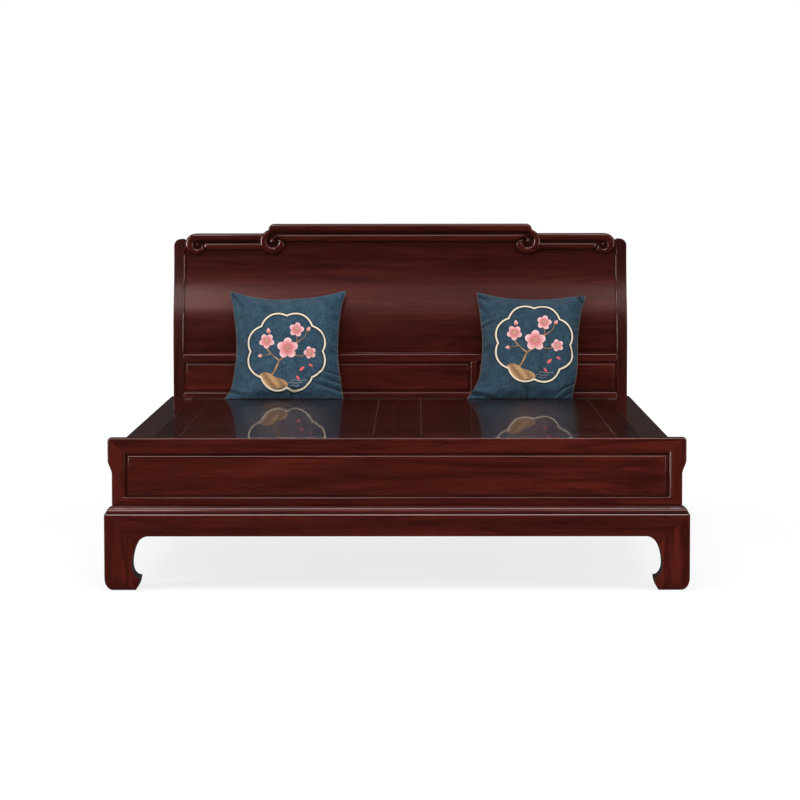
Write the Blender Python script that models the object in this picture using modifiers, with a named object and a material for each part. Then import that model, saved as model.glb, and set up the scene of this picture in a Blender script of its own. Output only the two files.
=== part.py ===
"""A double bed in dark rosewood: scroll-crested headboard, framed footboard on horse-hoof legs,
side rails, lift-out deck halves and two loose cushions. Metres, +Z up, foot end towards -Y."""

import math

import bmesh
import bpy
from mathutils import Matrix, Vector

# Gap between pieces that touch
CLEAR = 0.0003
# Open joint between the two deck halves
DECK_SEAM = 0.0012

# Overall sizes
DECK_HEIGHT = 0.526
RAIL_SPAN = 1.877
SLEEP_LENGTH = 2.025

# Horse-hoof legs, measured in from the outer face
LEG_WIDTH = 0.0935
TOE_REACH = 0.1205
TOE_HEIGHT = 0.044
TOE_BOW = 0.004
HOLLOW_HEIGHT = 0.089
HEEL_CUT = 0.030
HEEL_RISE = 0.045
SOLE_REACH = 0.1055
SPANDREL_REACH = 0.150

# Apron and waist moulding
APRON_TOP = 0.265
APRON_BOTTOM = 0.189
APRON_DEPTH = 0.040
APRON_ROUND = 0.004
WAIST_FILLET = 0.005
WAIST_RECESS = 0.004
WAIST_STEP = 0.019
WAIST_NECK = 0.009
WAIST_GROOVE = 0.004

# Footboard frame
FRAME_BOTTOM = 0.2975
FRAME_SETBACK = 0.025
FRAME_DEPTH = 0.050
FRAME_OVERHANG = 0.044
STILE_FACE = 0.045
TOP_RAIL_FACE = 0.0503
BOTTOM_RAIL_FACE = 0.025
EAR_REACH = 0.014
EAR_DROP = 0.075
EAR_OGEE = 0.050
EAR_STEPS = 8
EAR_CORNER = 0.009
FRAME_ROUND = 0.006

# Raised panels
PANEL_THICK = 0.016
PANEL_SUNK = 0.012
CHANNEL = 0.0095
FIELD_RISE = 0.009
FIELD_ROUND = 0.005

# Side rails
RAIL_TOP_WIDTH = 0.098
RAIL_ROUND = 0.004
SIDE_INSET = 0.004
SIDE_THICK = 0.030
SIDE_BORDER = 0.045
SIDE_CHANNEL = 0.012
SIDE_CUT = 0.006
SIDE_ROUND = 0.003

# Deck
DECK_THICK = 0.032
DECK_STILE = 0.082
DECK_FIELD_THICK = 0.018
DECK_ARRIS = 0.0012
BATTEN_WIDTH = 0.060
BATTENS = 2

# Bearers and ledgers
BEARER_HEIGHT = 0.0497
BEARER_WIDTH = 0.045
BEARERS = 4
LEDGER_WIDTH = 0.038
LEDGER_HEIGHT = 0.040
END_LEDGER = 0.035

# Corner brackets
BRACKET_THICK = 0.003
BRACKET_ARM = 0.050
BRACKET_RISE = 0.009
BRACKET_GAP = 0.030

# Headboard
HEAD_INSET = 0.0095
POST_FACE = 0.0415
POST_DEPTH = 0.055
POST_DROP = 0.061
POST_CORNER = 0.028
REAR_LEG_WIDTH = 0.090
REAR_LEG_TOP = 0.389
LEAN = 0.072
LEAN_RISE = 0.026
LEAN_DROP = 0.105
HEAD_RAIL_DEPTH = 0.040
BASE_RAIL_BOTTOM = 0.394
BASE_RAIL_TOP = 0.541
MID_RAIL_BOTTOM = 0.667
MID_RAIL_TOP = 0.698
HEAD_ROUND = 0.005
MUNTIN_INNER = 0.290
MUNTIN_FACE = 0.025
PANEL_SETBACK = 0.010
HEAD_PANEL_THICK = 0.022
BACK_BATTEN_WIDTH = 0.050
BACK_BATTEN_AT = 0.300

# Crest
CREST_PROUD = 0.012
CREST_ROUND = 0.006
CREST_TOP = 1.229
CREST_RAIL = 0.073
CREST_SCROLL_IN = 0.4033
CREST_SCROLL_DROP = 0.075
CREST_SCROLL_R = 0.0505
CREST_LOBE_R = 0.0215
SIDE_CREST_DROP = 0.039
SIDE_CREST_RAIL = 0.0665
SIDE_SCROLL_IN = 0.0895
SIDE_SCROLL_R = 0.043
GROOVE_R = 0.0035
CREST_ROLL = 0.039
CREST_GROOVE_SPIRAL = 0.027
SIDE_ROLL = 0.035
SIDE_GROOVE_SPIRAL = 0.020
GROOVE_EYE = 0.008
GROOVE_TURNS = 1.25

# Cushions
CUSHION_SIDE = 0.475
CUSHION_THICK = 0.150
CUSHION_EDGE = 0.014
CUSHION_WAIST = 0.022
CUSHION_EAR = 0.020
CUSHION_LEAN = 24.0
CUSHION_CLEAR = 0.005
CUSHION_SETS = (("cushion_left", -0.459, 0.6), ("cushion_right", 0.529, 2.6))

# Steps in a round stretch of an outline
ROUND_STEPS = 6
FINE_STEPS = 10
# Faces that turn less than this, in radians, count as one flat face
FLAT = 0.001

# Planes and edges that follow from the sizes above
LENGTH = FRAME_SETBACK + FRAME_DEPTH + SLEEP_LENGTH + LEAN + POST_DEPTH
FOOT_FACE = -LENGTH / 2
FRAME_FACE = FOOT_FACE + FRAME_SETBACK
FRAME_BACK = FRAME_FACE + FRAME_DEPTH
HEAD_FACE = FRAME_BACK + SLEEP_LENGTH
HEAD_BACK = HEAD_FACE + LEAN + POST_DEPTH
RAIL_HALF = RAIL_SPAN / 2
FRAME_HALF = RAIL_HALF + FRAME_OVERHANG
FOOT_HALF = FRAME_HALF + FRAME_SETBACK
OPENING_HALF = FRAME_HALF - STILE_FACE
OPENING_TOP = DECK_HEIGHT - TOP_RAIL_FACE
OPENING_BOTTOM = FRAME_BOTTOM + BOTTOM_RAIL_FACE
RAIL_INNER = RAIL_HALF - RAIL_TOP_WIDTH
SIDE_OUTER = RAIL_HALF - SIDE_INSET
SIDE_INNER = SIDE_OUTER - SIDE_THICK
DECK_UNDER = DECK_HEIGHT - DECK_THICK
BEARER_TOP = DECK_UNDER - CLEAR
BEARER_UNDER = BEARER_TOP - BEARER_HEIGHT
LEDGER_TOP = BEARER_UNDER - CLEAR
LEDGER_UNDER = LEDGER_TOP - LEDGER_HEIGHT
HEAD_HALF = RAIL_HALF - HEAD_INSET
POST_INNER = HEAD_HALF - POST_FACE
POST_TOP = CREST_TOP - POST_DROP
LEAN_START = MID_RAIL_TOP + LEAN_RISE
LEAN_END = CREST_TOP - LEAN_DROP
CREST_BOTTOM = CREST_TOP - CREST_RAIL
CREST_SCROLL_X = HEAD_HALF - CREST_SCROLL_IN
CREST_SCROLL_Z = CREST_TOP - CREST_SCROLL_DROP
SIDE_CREST_TOP = CREST_TOP - SIDE_CREST_DROP
SIDE_CREST_BOTTOM = SIDE_CREST_TOP - SIDE_CREST_RAIL
SIDE_SCROLL_X = HEAD_HALF - SIDE_SCROLL_IN
CREST_FACE = HEAD_FACE + LEAN - CREST_PROUD
PANEL_BACK_LINE = PANEL_SETBACK + HEAD_PANEL_THICK
SPAN_FROM = FRAME_BACK + CLEAR
SPAN_TO = HEAD_FACE - CLEAR

ROSEWOOD = ("rosewood", (0.060, 0.012, 0.010), 0.18, 0.0)
FIELD_WOOD = ("rosewood_field", (0.080, 0.016, 0.012), 0.16, 0.0)
HIDDEN_WOOD = ("inner_wood", (0.110, 0.040, 0.022), 0.45, 0.0)
STEEL = ("bracket_steel", (0.45, 0.45, 0.46), 0.35, 1.0)
CLOTH = ("cushion_cloth", (0.030, 0.075, 0.120), 0.90, 0.0)


# Scene and materials
def clear_scene():
    for obj in list(bpy.data.objects):
        bpy.data.objects.remove(obj, do_unlink=True)


def new_collection(name):
    collection = bpy.data.collections.new(name)
    bpy.context.scene.collection.children.link(collection)
    return collection


def material(name, recipe):
    slot, colour, roughness, metallic = recipe
    made = bpy.data.materials.new(f"{slot}_{name}")
    made.use_nodes = True
    shader = made.node_tree.nodes["Principled BSDF"]
    shader.inputs["Base Color"].default_value = (*colour, 1.0)
    shader.inputs["Roughness"].default_value = roughness
    shader.inputs["Metallic"].default_value = metallic
    return made


# Outlines, as lists of points in a plane
def ellipse(centre, radii, start, end, steps):
    """Points on an ellipse from one angle to another, in degrees."""
    points = []
    for step in range(steps + 1):
        angle = math.radians(start + (end - start) * step / steps)
        points.append((centre[0] + radii[0] * math.cos(angle), centre[1] + radii[1] * math.sin(angle)))
    return points


def arc(centre, radius, start, end, steps):
    return ellipse(centre, (radius, radius), start, end, steps)


def bowed(start, end, bow, steps):
    """Points from start to end, standing off the straight line by bow at the middle."""
    along = Vector(end) - Vector(start)
    out = Vector((along.y, -along.x)).normalized()
    points = []
    for step in range(steps + 1):
        share = step / steps
        points.append(tuple(Vector(start) + along * share + out * bow * 4 * share * (1 - share)))
    return points


def mirrored(points):
    """The outline on the other side of the bed's middle, with its direction kept."""
    return [(-x, z) for x, z in reversed(points)]


def without_doubles(points):
    kept = []
    for point in points:
        if not kept or (Vector(point) - Vector(kept[-1])).length > CLEAR / 10:
            kept.append(point)
    if (Vector(kept[0]) - Vector(kept[-1])).length <= CLEAR / 10:
        kept.pop()
    return kept


# Solids
PLANES = {
    "XY": Matrix.Identity(4),
    "XZ": Matrix(((1, 0, 0, 0), (0, 0, -1, 0), (0, 1, 0, 0), (0, 0, 0, 1))),
    "YZ": Matrix(((0, 0, 1, 0), (1, 0, 0, 0), (0, 1, 0, 0), (0, 0, 0, 1))),
}
ALONG = {"XY": Vector((0, 0, 1)), "XZ": Vector((0, 1, 0)), "YZ": Vector((1, 0, 0))}


def curve_to_mesh(curve, name, collection):
    """A mesh object in the place of a curve object, with its caps welded on."""
    bpy.context.view_layer.update()
    evaluated = curve.evaluated_get(bpy.context.evaluated_depsgraph_get())
    mesh = bpy.data.meshes.new_from_object(evaluated)
    shape = bmesh.new()
    shape.from_mesh(mesh)
    bmesh.ops.remove_doubles(shape, verts=shape.verts, dist=CLEAR / 30)
    bmesh.ops.dissolve_limit(shape, angle_limit=FLAT, verts=shape.verts, edges=shape.edges)
    bmesh.ops.recalc_face_normals(shape, faces=shape.faces)
    shape.to_mesh(mesh)
    shape.free()
    solid = bpy.data.objects.new(name, mesh)
    collection.objects.link(solid)
    solid.matrix_world = curve.matrix_world
    mesh.name = name
    bpy.data.objects.remove(curve, do_unlink=True)
    return solid


def prism(name, outline, plane, low, high, collection):
    """A flat outline in a plane, drawn out square to it from low to high."""
    points = without_doubles(outline)
    data = bpy.data.curves.new(name + "_outline", "CURVE")
    data.dimensions = "2D"
    data.fill_mode = "BOTH"
    data.extrude = (high - low) / 2
    spline = data.splines.new("POLY")
    spline.points.add(len(points) - 1)
    for point, (across, up) in zip(spline.points, points):
        point.co = (across, up, 0, 1)
    spline.use_cyclic_u = True
    curve = bpy.data.objects.new(name + "_outline", data)
    collection.objects.link(curve)
    curve.matrix_world = Matrix.Translation(ALONG[plane] * (low + high) / 2) @ PLANES[plane]
    return curve_to_mesh(curve, name, collection)


def box(name, low, high, collection):
    shape = bmesh.new()
    bmesh.ops.create_cube(shape, size=1)
    bmesh.ops.scale(shape, vec=Vector(high) - Vector(low), verts=shape.verts)
    mesh = bpy.data.meshes.new(name)
    shape.to_mesh(mesh)
    shape.free()
    obj = bpy.data.objects.new(name, mesh)
    collection.objects.link(obj)
    obj.location = (Vector(low) + Vector(high)) / 2
    return obj


def boolean(obj, other, operation, solver="EXACT"):
    cut = obj.modifiers.new(operation.lower(), "BOOLEAN")
    cut.operation = operation
    cut.solver = solver
    cut.object = other
    other.hide_render = True
    other.display_type = "WIRE"


def round_edges(obj, radius, segments, chosen):
    """Rounds the edges whose two ends, in world places, the chosen test accepts."""
    bpy.context.view_layer.update()
    shape = bmesh.new()
    shape.from_mesh(obj.data)
    weight = shape.edges.layers.float.new("bevel_weight_edge")
    for edge in shape.edges:
        ends = [obj.matrix_world @ vert.co for vert in edge.verts]
        if chosen(*ends):
            edge[weight] = 1.0
    shape.to_mesh(obj.data)
    shape.free()
    bevel = obj.modifiers.new("rounded_edges", "BEVEL")
    bevel.limit_method = "WEIGHT"
    bevel.width = radius
    bevel.segments = segments
    bevel.use_clamp_overlap = False
    obj.data.shade_smooth()
    obj.data.set_sharp_from_angle(angle=math.radians(35))


def near(value, target):
    return abs(value - target) < CLEAR / 3


def sunk_field(name, size, steps, edge_round, collection):
    """An upright board facing -Y, centred on its origin, with its face stepped in or out in rings.

    Each step gives how far it goes in from the last outline, and how far its inner edge rises."""
    width, thick, height = size
    shape = bmesh.new()
    bmesh.ops.create_cube(shape, size=1)
    bmesh.ops.scale(shape, vec=(width, thick, height), verts=shape.verts)
    shape.normal_update()
    face = min(shape.faces, key=lambda each: each.calc_center_median().y)
    for inward, rise in steps:
        bmesh.ops.inset_region(shape, faces=[face], thickness=inward, depth=rise, use_even_offset=True)
    field_edges = list(face.edges)
    bmesh.ops.bevel(shape, geom=field_edges, offset=edge_round, segments=2, profile=0.5, affect="EDGES")
    mesh = bpy.data.meshes.new(name)
    shape.to_mesh(mesh)
    shape.free()
    obj = bpy.data.objects.new(name, mesh)
    collection.objects.link(obj)
    return obj


class Bed:
    """The bed's pieces and cutters, each in its own collection."""

    def __init__(self):
        self.pieces = new_collection("double_bed")
        self.cutters = new_collection("double_bed_cutters")
        self.root = self.empty("bed_frame", (0, 0, 0))

    def empty(self, name, where):
        made = bpy.data.objects.new(name, None)
        made.location = where
        made.empty_display_size = 0.1
        self.pieces.objects.link(made)
        return made

    def finish(self, obj, recipe, parent=None):
        obj.data.materials.clear()
        obj.data.materials.append(material(obj.name, recipe))
        bpy.context.view_layer.update()
        holder = parent or self.root
        obj.parent = holder
        obj.matrix_parent_inverse = holder.matrix_world.inverted()
        return obj


# Footboard
def hoof_outline():
    """The leg's outline in (distance in from the outer face, height), running down the outer side."""
    hollow = (TOE_REACH - LEG_WIDTH, HOLLOW_HEIGHT - TOE_HEIGHT)
    outline = [(0, APRON_TOP)]
    outline += ellipse((HEEL_CUT, HEEL_RISE), (HEEL_CUT, HEEL_RISE), 180, 270, ROUND_STEPS)
    outline += bowed((SOLE_REACH, 0), (TOE_REACH, TOE_HEIGHT), TOE_BOW, 3)
    outline += ellipse((TOE_REACH, HOLLOW_HEIGHT), hollow, 270, 180, ROUND_STEPS)
    outline += spandrel(180, 135)
    outline.append((spandrel(180, 135)[-1][0], APRON_TOP))
    return outline


def spandrel(start, end):
    """The hollow curve from the leg's narrowest place up to the apron's lower edge."""
    centre = (SPANDREL_REACH, HOLLOW_HEIGHT)
    radii = (SPANDREL_REACH - LEG_WIDTH, APRON_BOTTOM - HOLLOW_HEIGHT)
    return ellipse(centre, radii, start, end, ROUND_STEPS)


def mitre_cut(side):
    """The upper side of the slanting joint between leg and apron, as an outline across the front."""
    top = Vector((0, APRON_TOP))
    foot = Vector(spandrel(180, 135)[-1])
    along = foot - top
    off = Vector((along.y, -along.x)).normalized()
    low = [top - along + off * CLEAR, foot + along + off * CLEAR]
    high = [foot + along - off * along.length, top - along - off * along.length]
    return [(side * (FOOT_HALF - point.x), point.y) for point in low + high]


def make_legs(bed):
    for name, side in (("leg_left", -1), ("leg_right", 1)):
        front = [(side * (FOOT_HALF - inward), height) for inward, height in hoof_outline()]
        flank = [(FOOT_FACE + inward, height) for inward, height in hoof_outline()]
        depth = max(point[0] for point in flank)
        reach = sorted((side * FOOT_HALF, side * (FOOT_HALF - TOE_REACH)))
        leg = prism(name, front, "XZ", FOOT_FACE, depth, bed.pieces)
        other = prism(name + "_flank", flank, "YZ", reach[0] - CLEAR, reach[1] + CLEAR, bed.cutters)
        cut = prism(name + "_mitre", mitre_cut(side), "XZ", FOOT_FACE - APRON_DEPTH,
                    FOOT_FACE + APRON_DEPTH + CLEAR, bed.cutters)
        boolean(leg, other, "INTERSECT")
        boolean(leg, cut, "DIFFERENCE")
        bed.finish(leg, ROSEWOOD)


def make_apron(bed):
    half = [(FOOT_HALF - inward, height) for inward, height in [(0, APRON_TOP)] + spandrel(135, 90)]
    apron = prism("apron", half + mirrored(half), "XZ", FOOT_FACE, FOOT_FACE + APRON_DEPTH, bed.pieces)

    def top_front(first, second):
        on_face = near(first.y, FOOT_FACE) and near(second.y, FOOT_FACE)
        return on_face and near(first.z, APRON_TOP) and near(second.z, APRON_TOP)

    round_edges(apron, APRON_ROUND, 2, top_front)
    bed.finish(apron, ROSEWOOD)


def waist_profile(groove):
    """The waist moulding in (distance out from the frame's face, height), from the foot up to the groove in its neck."""
    low = APRON_TOP + CLEAR
    shoulder = APRON_TOP + WAIST_FILLET
    neck = FRAME_BOTTOM - WAIST_NECK
    curve = ellipse((0, shoulder), (WAIST_STEP, neck - shoulder), 0, 90, ROUND_STEPS)
    foot = [(WAIST_STEP - WAIST_RECESS, low), (WAIST_STEP - WAIST_RECESS, shoulder)]
    return foot + curve + [(-groove, neck), (-groove, FRAME_BOTTOM - CLEAR)]


def make_waist(bed):
    across = [(FRAME_HALF + out, height) for out, height in waist_profile(0)[:-2]]
    across.append((FRAME_HALF, FRAME_BOTTOM - CLEAR))
    across = [(across[0][0], across[0][1] - CLEAR)] + across + [(across[-1][0], across[-1][1] + CLEAR)]
    along = [(FRAME_FACE - out, height) for out, height in waist_profile(WAIST_GROOVE)]
    along += [(FRAME_BACK, FRAME_BOTTOM - CLEAR), (FRAME_BACK, APRON_TOP + CLEAR)]
    reach = FRAME_HALF + WAIST_STEP + CLEAR
    waist = prism("waist_moulding", along, "YZ", -reach, reach, bed.pieces)
    ends = prism("waist_ends", across + mirrored(across), "XZ", FOOT_FACE, FRAME_BACK + CLEAR, bed.cutters)
    boolean(waist, ends, "INTERSECT", "MANIFOLD")
    bed.finish(waist, ROSEWOOD)


def ear_outline():
    """The frame's outer edge on the right, from its foot up to the mitre at the rounded top corner."""
    reach = FRAME_HALF + EAR_REACH
    shoulder = DECK_HEIGHT - EAR_DROP
    edge = []
    for step in range(EAR_STEPS + 1):
        share = step / EAR_STEPS
        out = EAR_REACH * (1 - math.cos(math.pi * share)) / 2
        edge.append((FRAME_HALF + out, shoulder - EAR_OGEE * (1 - share)))
    corner = (reach - EAR_CORNER, DECK_HEIGHT - EAR_CORNER)
    edge += arc(corner, EAR_CORNER, 0, 45, 3)
    return edge


def front_edges(test):
    """A test for edges that lie on the footboard frame's face and whose two ends pass the test."""
    def chosen(first, second):
        on_face = near(first.y, FRAME_FACE) and near(second.y, FRAME_FACE)
        return on_face and test(first) and test(second)

    return chosen


def make_foot_frame(bed):
    edge = ear_outline()
    inner_top = (OPENING_HALF, OPENING_TOP)
    inner_foot = (OPENING_HALF, OPENING_BOTTOM)
    for name, side in (("foot_stile_left", -1), ("foot_stile_right", 1)):
        outline = [(FRAME_HALF, FRAME_BOTTOM)] + edge + [inner_top, inner_foot]
        if side < 0:
            outline = mirrored(outline)
        stile = prism(name, outline, "XZ", FRAME_FACE, FRAME_BACK, bed.pieces)
        round_edges(stile, FRAME_ROUND, 2, front_edges(lambda point: abs(point.x) > FRAME_HALF - CLEAR))
        bed.finish(stile, ROSEWOOD)
    gap = CLEAR * 2
    reach = FRAME_HALF + EAR_REACH
    corner = (reach - EAR_CORNER, DECK_HEIGHT - EAR_CORNER)
    half = [(x - gap, z) for x, z in [inner_top] + arc(corner, EAR_CORNER, 45, 90, 3)]
    top = prism("foot_top_rail", half + mirrored(half), "XZ", FRAME_FACE, FRAME_BACK, bed.pieces)
    round_edges(top, FRAME_ROUND, 2, front_edges(lambda point: point.z > DECK_HEIGHT - EAR_CORNER))
    bed.finish(top, ROSEWOOD)
    half = [(x - gap, z) for x, z in [(FRAME_HALF, FRAME_BOTTOM), inner_foot]]
    low = prism("foot_bottom_rail", half + mirrored(half), "XZ", FRAME_FACE, FRAME_BACK, bed.pieces)
    bed.finish(low, ROSEWOOD)


def make_foot_panel(bed):
    height = OPENING_TOP - OPENING_BOTTOM - 2 * CLEAR
    width = 2 * (OPENING_HALF - 3 * CLEAR)
    panel = sunk_field("foot_panel", (width, PANEL_THICK, height), [(CHANNEL, 0), (CLEAR, FIELD_RISE)],
                       FIELD_ROUND, bed.pieces)
    middle = (OPENING_TOP + OPENING_BOTTOM) / 2
    panel.location = (0, FRAME_FACE + PANEL_SUNK + PANEL_THICK / 2, middle)
    bed.finish(panel, FIELD_WOOD)


def make_foot_posts(bed):
    """Blocks behind the panel's ends, which the side rails are hung on."""
    front = FRAME_FACE + PANEL_SUNK + PANEL_THICK + CLEAR
    for name, side in (("foot_post_left", -1), ("foot_post_right", 1)):
        ends = sorted((side * RAIL_INNER, side * (OPENING_HALF - 3 * CLEAR)))
        post = box(name, (ends[0], front, OPENING_BOTTOM + CLEAR), (ends[1], FRAME_BACK, OPENING_TOP - CLEAR),
                   bed.pieces)
        bed.finish(post, HIDDEN_WOOD)


# Side rails and what they carry
def make_side_rails(bed):
    length = SPAN_TO - SPAN_FROM
    middle = (SPAN_TO + SPAN_FROM) / 2
    for word, side in (("left", -1), ("right", 1)):
        ends = sorted((side * RAIL_INNER, side * RAIL_HALF))
        top = box(f"rail_top_{word}", (ends[0], SPAN_FROM, DECK_UNDER), (ends[1], SPAN_TO, DECK_HEIGHT),
                  bed.pieces)
        round_edges(top, RAIL_ROUND, 2, outer_top(side))
        bed.finish(top, ROSEWOOD)
        height = BEARER_TOP - FRAME_BOTTOM
        rings = [(SIDE_BORDER, 0), (CLEAR, -SIDE_CUT), (SIDE_CHANNEL, 0), (CLEAR, SIDE_CUT)]
        board = sunk_field(f"rail_side_{word}", (length, SIDE_THICK, height), rings, SIDE_ROUND, bed.pieces)
        board.rotation_euler = (0, 0, side * math.pi / 2)
        board.location = (side * (SIDE_OUTER - SIDE_THICK / 2), middle, FRAME_BOTTOM + height / 2)
        bed.finish(board, FIELD_WOOD)
        ends = sorted((side * (SIDE_INNER - CLEAR), side * (SIDE_INNER - CLEAR - LEDGER_WIDTH)))
        ledger = box(f"rail_ledger_{word}", (ends[0], SPAN_FROM, LEDGER_UNDER),
                     (ends[1], SPAN_TO, LEDGER_TOP), bed.pieces)
        bed.finish(ledger, HIDDEN_WOOD)


def outer_top(side):
    def chosen(first, second):
        outside = near(first.x, side * RAIL_HALF) and near(second.x, side * RAIL_HALF)
        return outside and near(first.z, DECK_HEIGHT) and near(second.z, DECK_HEIGHT)

    return chosen


def make_bearers(bed):
    """Bars across the bed, and the ledgers fixed to the footboard and the headboard at the same height."""
    half = SIDE_INNER - CLEAR
    places = [("foot_ledger", SPAN_FROM, SPAN_FROM + END_LEDGER)]
    places.append(("head_ledger", SPAN_TO - END_LEDGER, SPAN_TO))
    for number in range(BEARERS):
        middle = SPAN_FROM + (SPAN_TO - SPAN_FROM) * (number + 1) / (BEARERS + 1)
        places.append((f"bearer_{number + 1}", middle - BEARER_WIDTH / 2, middle + BEARER_WIDTH / 2))
    for name, start, end in places:
        bar = box(name, (-half, start, BEARER_UNDER), (half, end, BEARER_TOP), bed.pieces)
        bed.finish(bar, HIDDEN_WOOD)


def make_brackets(bed):
    """Steel angles that hold each rail to the footboard and the headboard, in the inner corners."""
    low = FRAME_BOTTOM + BRACKET_RISE
    high = LEDGER_UNDER - BRACKET_GAP
    for end, face, inward in (("foot", SPAN_FROM, 1), ("head", SPAN_TO, -1)):
        for word, side in (("left", -1), ("right", 1)):
            wall = SIDE_INNER - CLEAR
            corner = [(wall, 0), (wall, BRACKET_ARM), (wall - BRACKET_THICK, BRACKET_ARM)]
            corner += [(wall - BRACKET_THICK, BRACKET_THICK), (wall - BRACKET_ARM, BRACKET_THICK)]
            corner += [(wall - BRACKET_ARM, 0)]
            name = f"bracket_{end}_{word}"
            places = [(side * across, face + inward * away) for across, away in corner]
            bracket = prism(name, places, "XY", low, high, bed.pieces)
            bed.finish(bracket, STEEL)


# Deck halves that lift out
def make_deck(bed):
    holders = {}
    inner = DECK_SEAM / 2
    outer = RAIL_INNER - DECK_SEAM / 2
    start = SPAN_FROM + DECK_SEAM / 2
    end = SPAN_TO - DECK_SEAM / 2
    for word, side in (("left", -1), ("right", 1)):
        holder = bed.empty(f"deck_{word}_lift", (side * (inner + outer) / 2, (start + end) / 2, DECK_UNDER))
        holders[word] = holder
        frame = (
            ("inner_stile", inner, inner + DECK_STILE, start, end),
            ("outer_stile", outer - DECK_STILE, outer, start, end),
            ("foot_rail", inner + DECK_STILE + CLEAR, outer - DECK_STILE - CLEAR, start, start + DECK_STILE),
            ("head_rail", inner + DECK_STILE + CLEAR, outer - DECK_STILE - CLEAR, end - DECK_STILE, end),
        )
        for part, near_x, far_x, near_y, far_y in frame:
            ends = sorted((side * near_x, side * far_x))
            bar = box(f"deck_{word}_{part}", (ends[0], near_y, DECK_UNDER), (ends[1], far_y, DECK_HEIGHT),
                      bed.pieces)
            round_edges(bar, DECK_ARRIS, 1, deck_top)
            bed.finish(bar, ROSEWOOD, holder)
        ends = sorted((side * (inner + DECK_STILE + CLEAR), side * (outer - DECK_STILE - CLEAR)))
        near_y = start + DECK_STILE + CLEAR
        far_y = end - DECK_STILE - CLEAR
        under = DECK_HEIGHT - DECK_FIELD_THICK
        field = box(f"deck_{word}_field", (ends[0], near_y, under), (ends[1], far_y, DECK_HEIGHT), bed.pieces)
        round_edges(field, DECK_ARRIS, 1, deck_top)
        bed.finish(field, FIELD_WOOD, holder)
        for number in range(BATTENS):
            middle = near_y + (far_y - near_y) * (2 * number + 1) / (2 * BATTENS)
            batten = box(f"deck_{word}_batten_{number + 1}", (ends[0], middle - BATTEN_WIDTH / 2, DECK_UNDER),
                         (ends[1], middle + BATTEN_WIDTH / 2, under - CLEAR), bed.pieces)
            bed.finish(batten, HIDDEN_WOOD, holder)
    return holders


def deck_top(first, second):
    return near(first.z, DECK_HEIGHT) and near(second.z, DECK_HEIGHT)


# Headboard
def lean_line(setback, low, high):
    """The headboard's side line in (y, height): upright, an ogee back over the lean, upright again."""
    rise = (LEAN_END - LEAN_START) / 2
    run = LEAN / 2
    radius = (rise * rise + run * run) / (2 * run)
    sweep = math.degrees(math.asin(rise / radius))
    foot = HEAD_FACE + setback
    middle = (foot + run, LEAN_START + rise)
    line = [(foot, low)]
    line += arc((foot + radius, LEAN_START), radius, 180, 180 - sweep, FINE_STEPS)
    line += arc((middle[0] + run - radius, LEAN_END), radius, -sweep, 0, FINE_STEPS)[1:]
    line.append((foot + LEAN, high))
    return [point for point in line if low <= point[1] <= high]


def leaning_slab(name, front, back, low, high, span, collection):
    """A slab between two setbacks that follows the headboard's lean, across a span of x."""
    outline = lean_line(front, low, high) + list(reversed(lean_line(back, low, high)))
    return prism(name, outline, "YZ", span[0], span[1], collection)


def make_posts(bed):
    for name, side in (("head_post_left", -1), ("head_post_right", 1)):
        inner_leg = HEAD_HALF - REAR_LEG_WIDTH
        corner = (HEAD_HALF - POST_CORNER, POST_TOP - POST_CORNER)
        front = [(inner_leg, 0), (HEAD_HALF, 0)]
        front += arc(corner, POST_CORNER, 0, 90, ROUND_STEPS)
        front += [(POST_INNER, POST_TOP), (POST_INNER, REAR_LEG_TOP), (inner_leg, REAR_LEG_TOP)]
        if side < 0:
            front = mirrored(front)
        span = sorted((side * (inner_leg - CLEAR), side * (HEAD_HALF + CLEAR)))
        post = leaning_slab(name, 0, POST_DEPTH, 0, POST_TOP + POST_CORNER, span, bed.pieces)
        face = prism(name + "_face", front, "XZ", HEAD_FACE - LEAN, HEAD_BACK + LEAN, bed.cutters)
        boolean(post, face, "INTERSECT")
        bed.finish(post, ROSEWOOD)


def head_edge(height):
    """A test for edges on the headboard's lower face at one height."""
    def chosen(first, second):
        on_face = near(first.y, HEAD_FACE) and near(second.y, HEAD_FACE)
        return on_face and near(first.z, height) and near(second.z, height)

    return chosen


def make_head_frame(bed):
    half = POST_INNER - CLEAR
    back = HEAD_FACE + HEAD_RAIL_DEPTH
    for name, low, high in (("head_base_rail", BASE_RAIL_BOTTOM, BASE_RAIL_TOP),
                            ("head_mid_rail", MID_RAIL_BOTTOM, MID_RAIL_TOP)):
        rail = box(name, (-half, HEAD_FACE, low), (half, back, high), bed.pieces)
        round_edges(rail, HEAD_ROUND, 2, head_edge(high))
        bed.finish(rail, ROSEWOOD)
    low = BASE_RAIL_TOP + CLEAR
    high = MID_RAIL_BOTTOM - CLEAR
    for name, side in (("head_muntin_left", -1), ("head_muntin_right", 1)):
        ends = sorted((side * MUNTIN_INNER, side * (MUNTIN_INNER + MUNTIN_FACE)))
        muntin = box(name, (ends[0], HEAD_FACE, low), (ends[1], back, high), bed.pieces)
        bed.finish(muntin, ROSEWOOD)
    outer = MUNTIN_INNER + MUNTIN_FACE
    openings = (("head_panel_left", -half, -outer), ("head_panel_centre", -MUNTIN_INNER, MUNTIN_INNER),
                ("head_panel_right", outer, half))
    for name, start, end in openings:
        size = (end - start - 2 * CLEAR, PANEL_THICK, high - low)
        panel = sunk_field(name, size, [(CHANNEL, 0), (CLEAR, FIELD_RISE)], FIELD_ROUND, bed.pieces)
        panel.location = ((start + end) / 2, HEAD_FACE + PANEL_SUNK + PANEL_THICK / 2, (low + high) / 2)
        bed.finish(panel, FIELD_WOOD)


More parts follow.
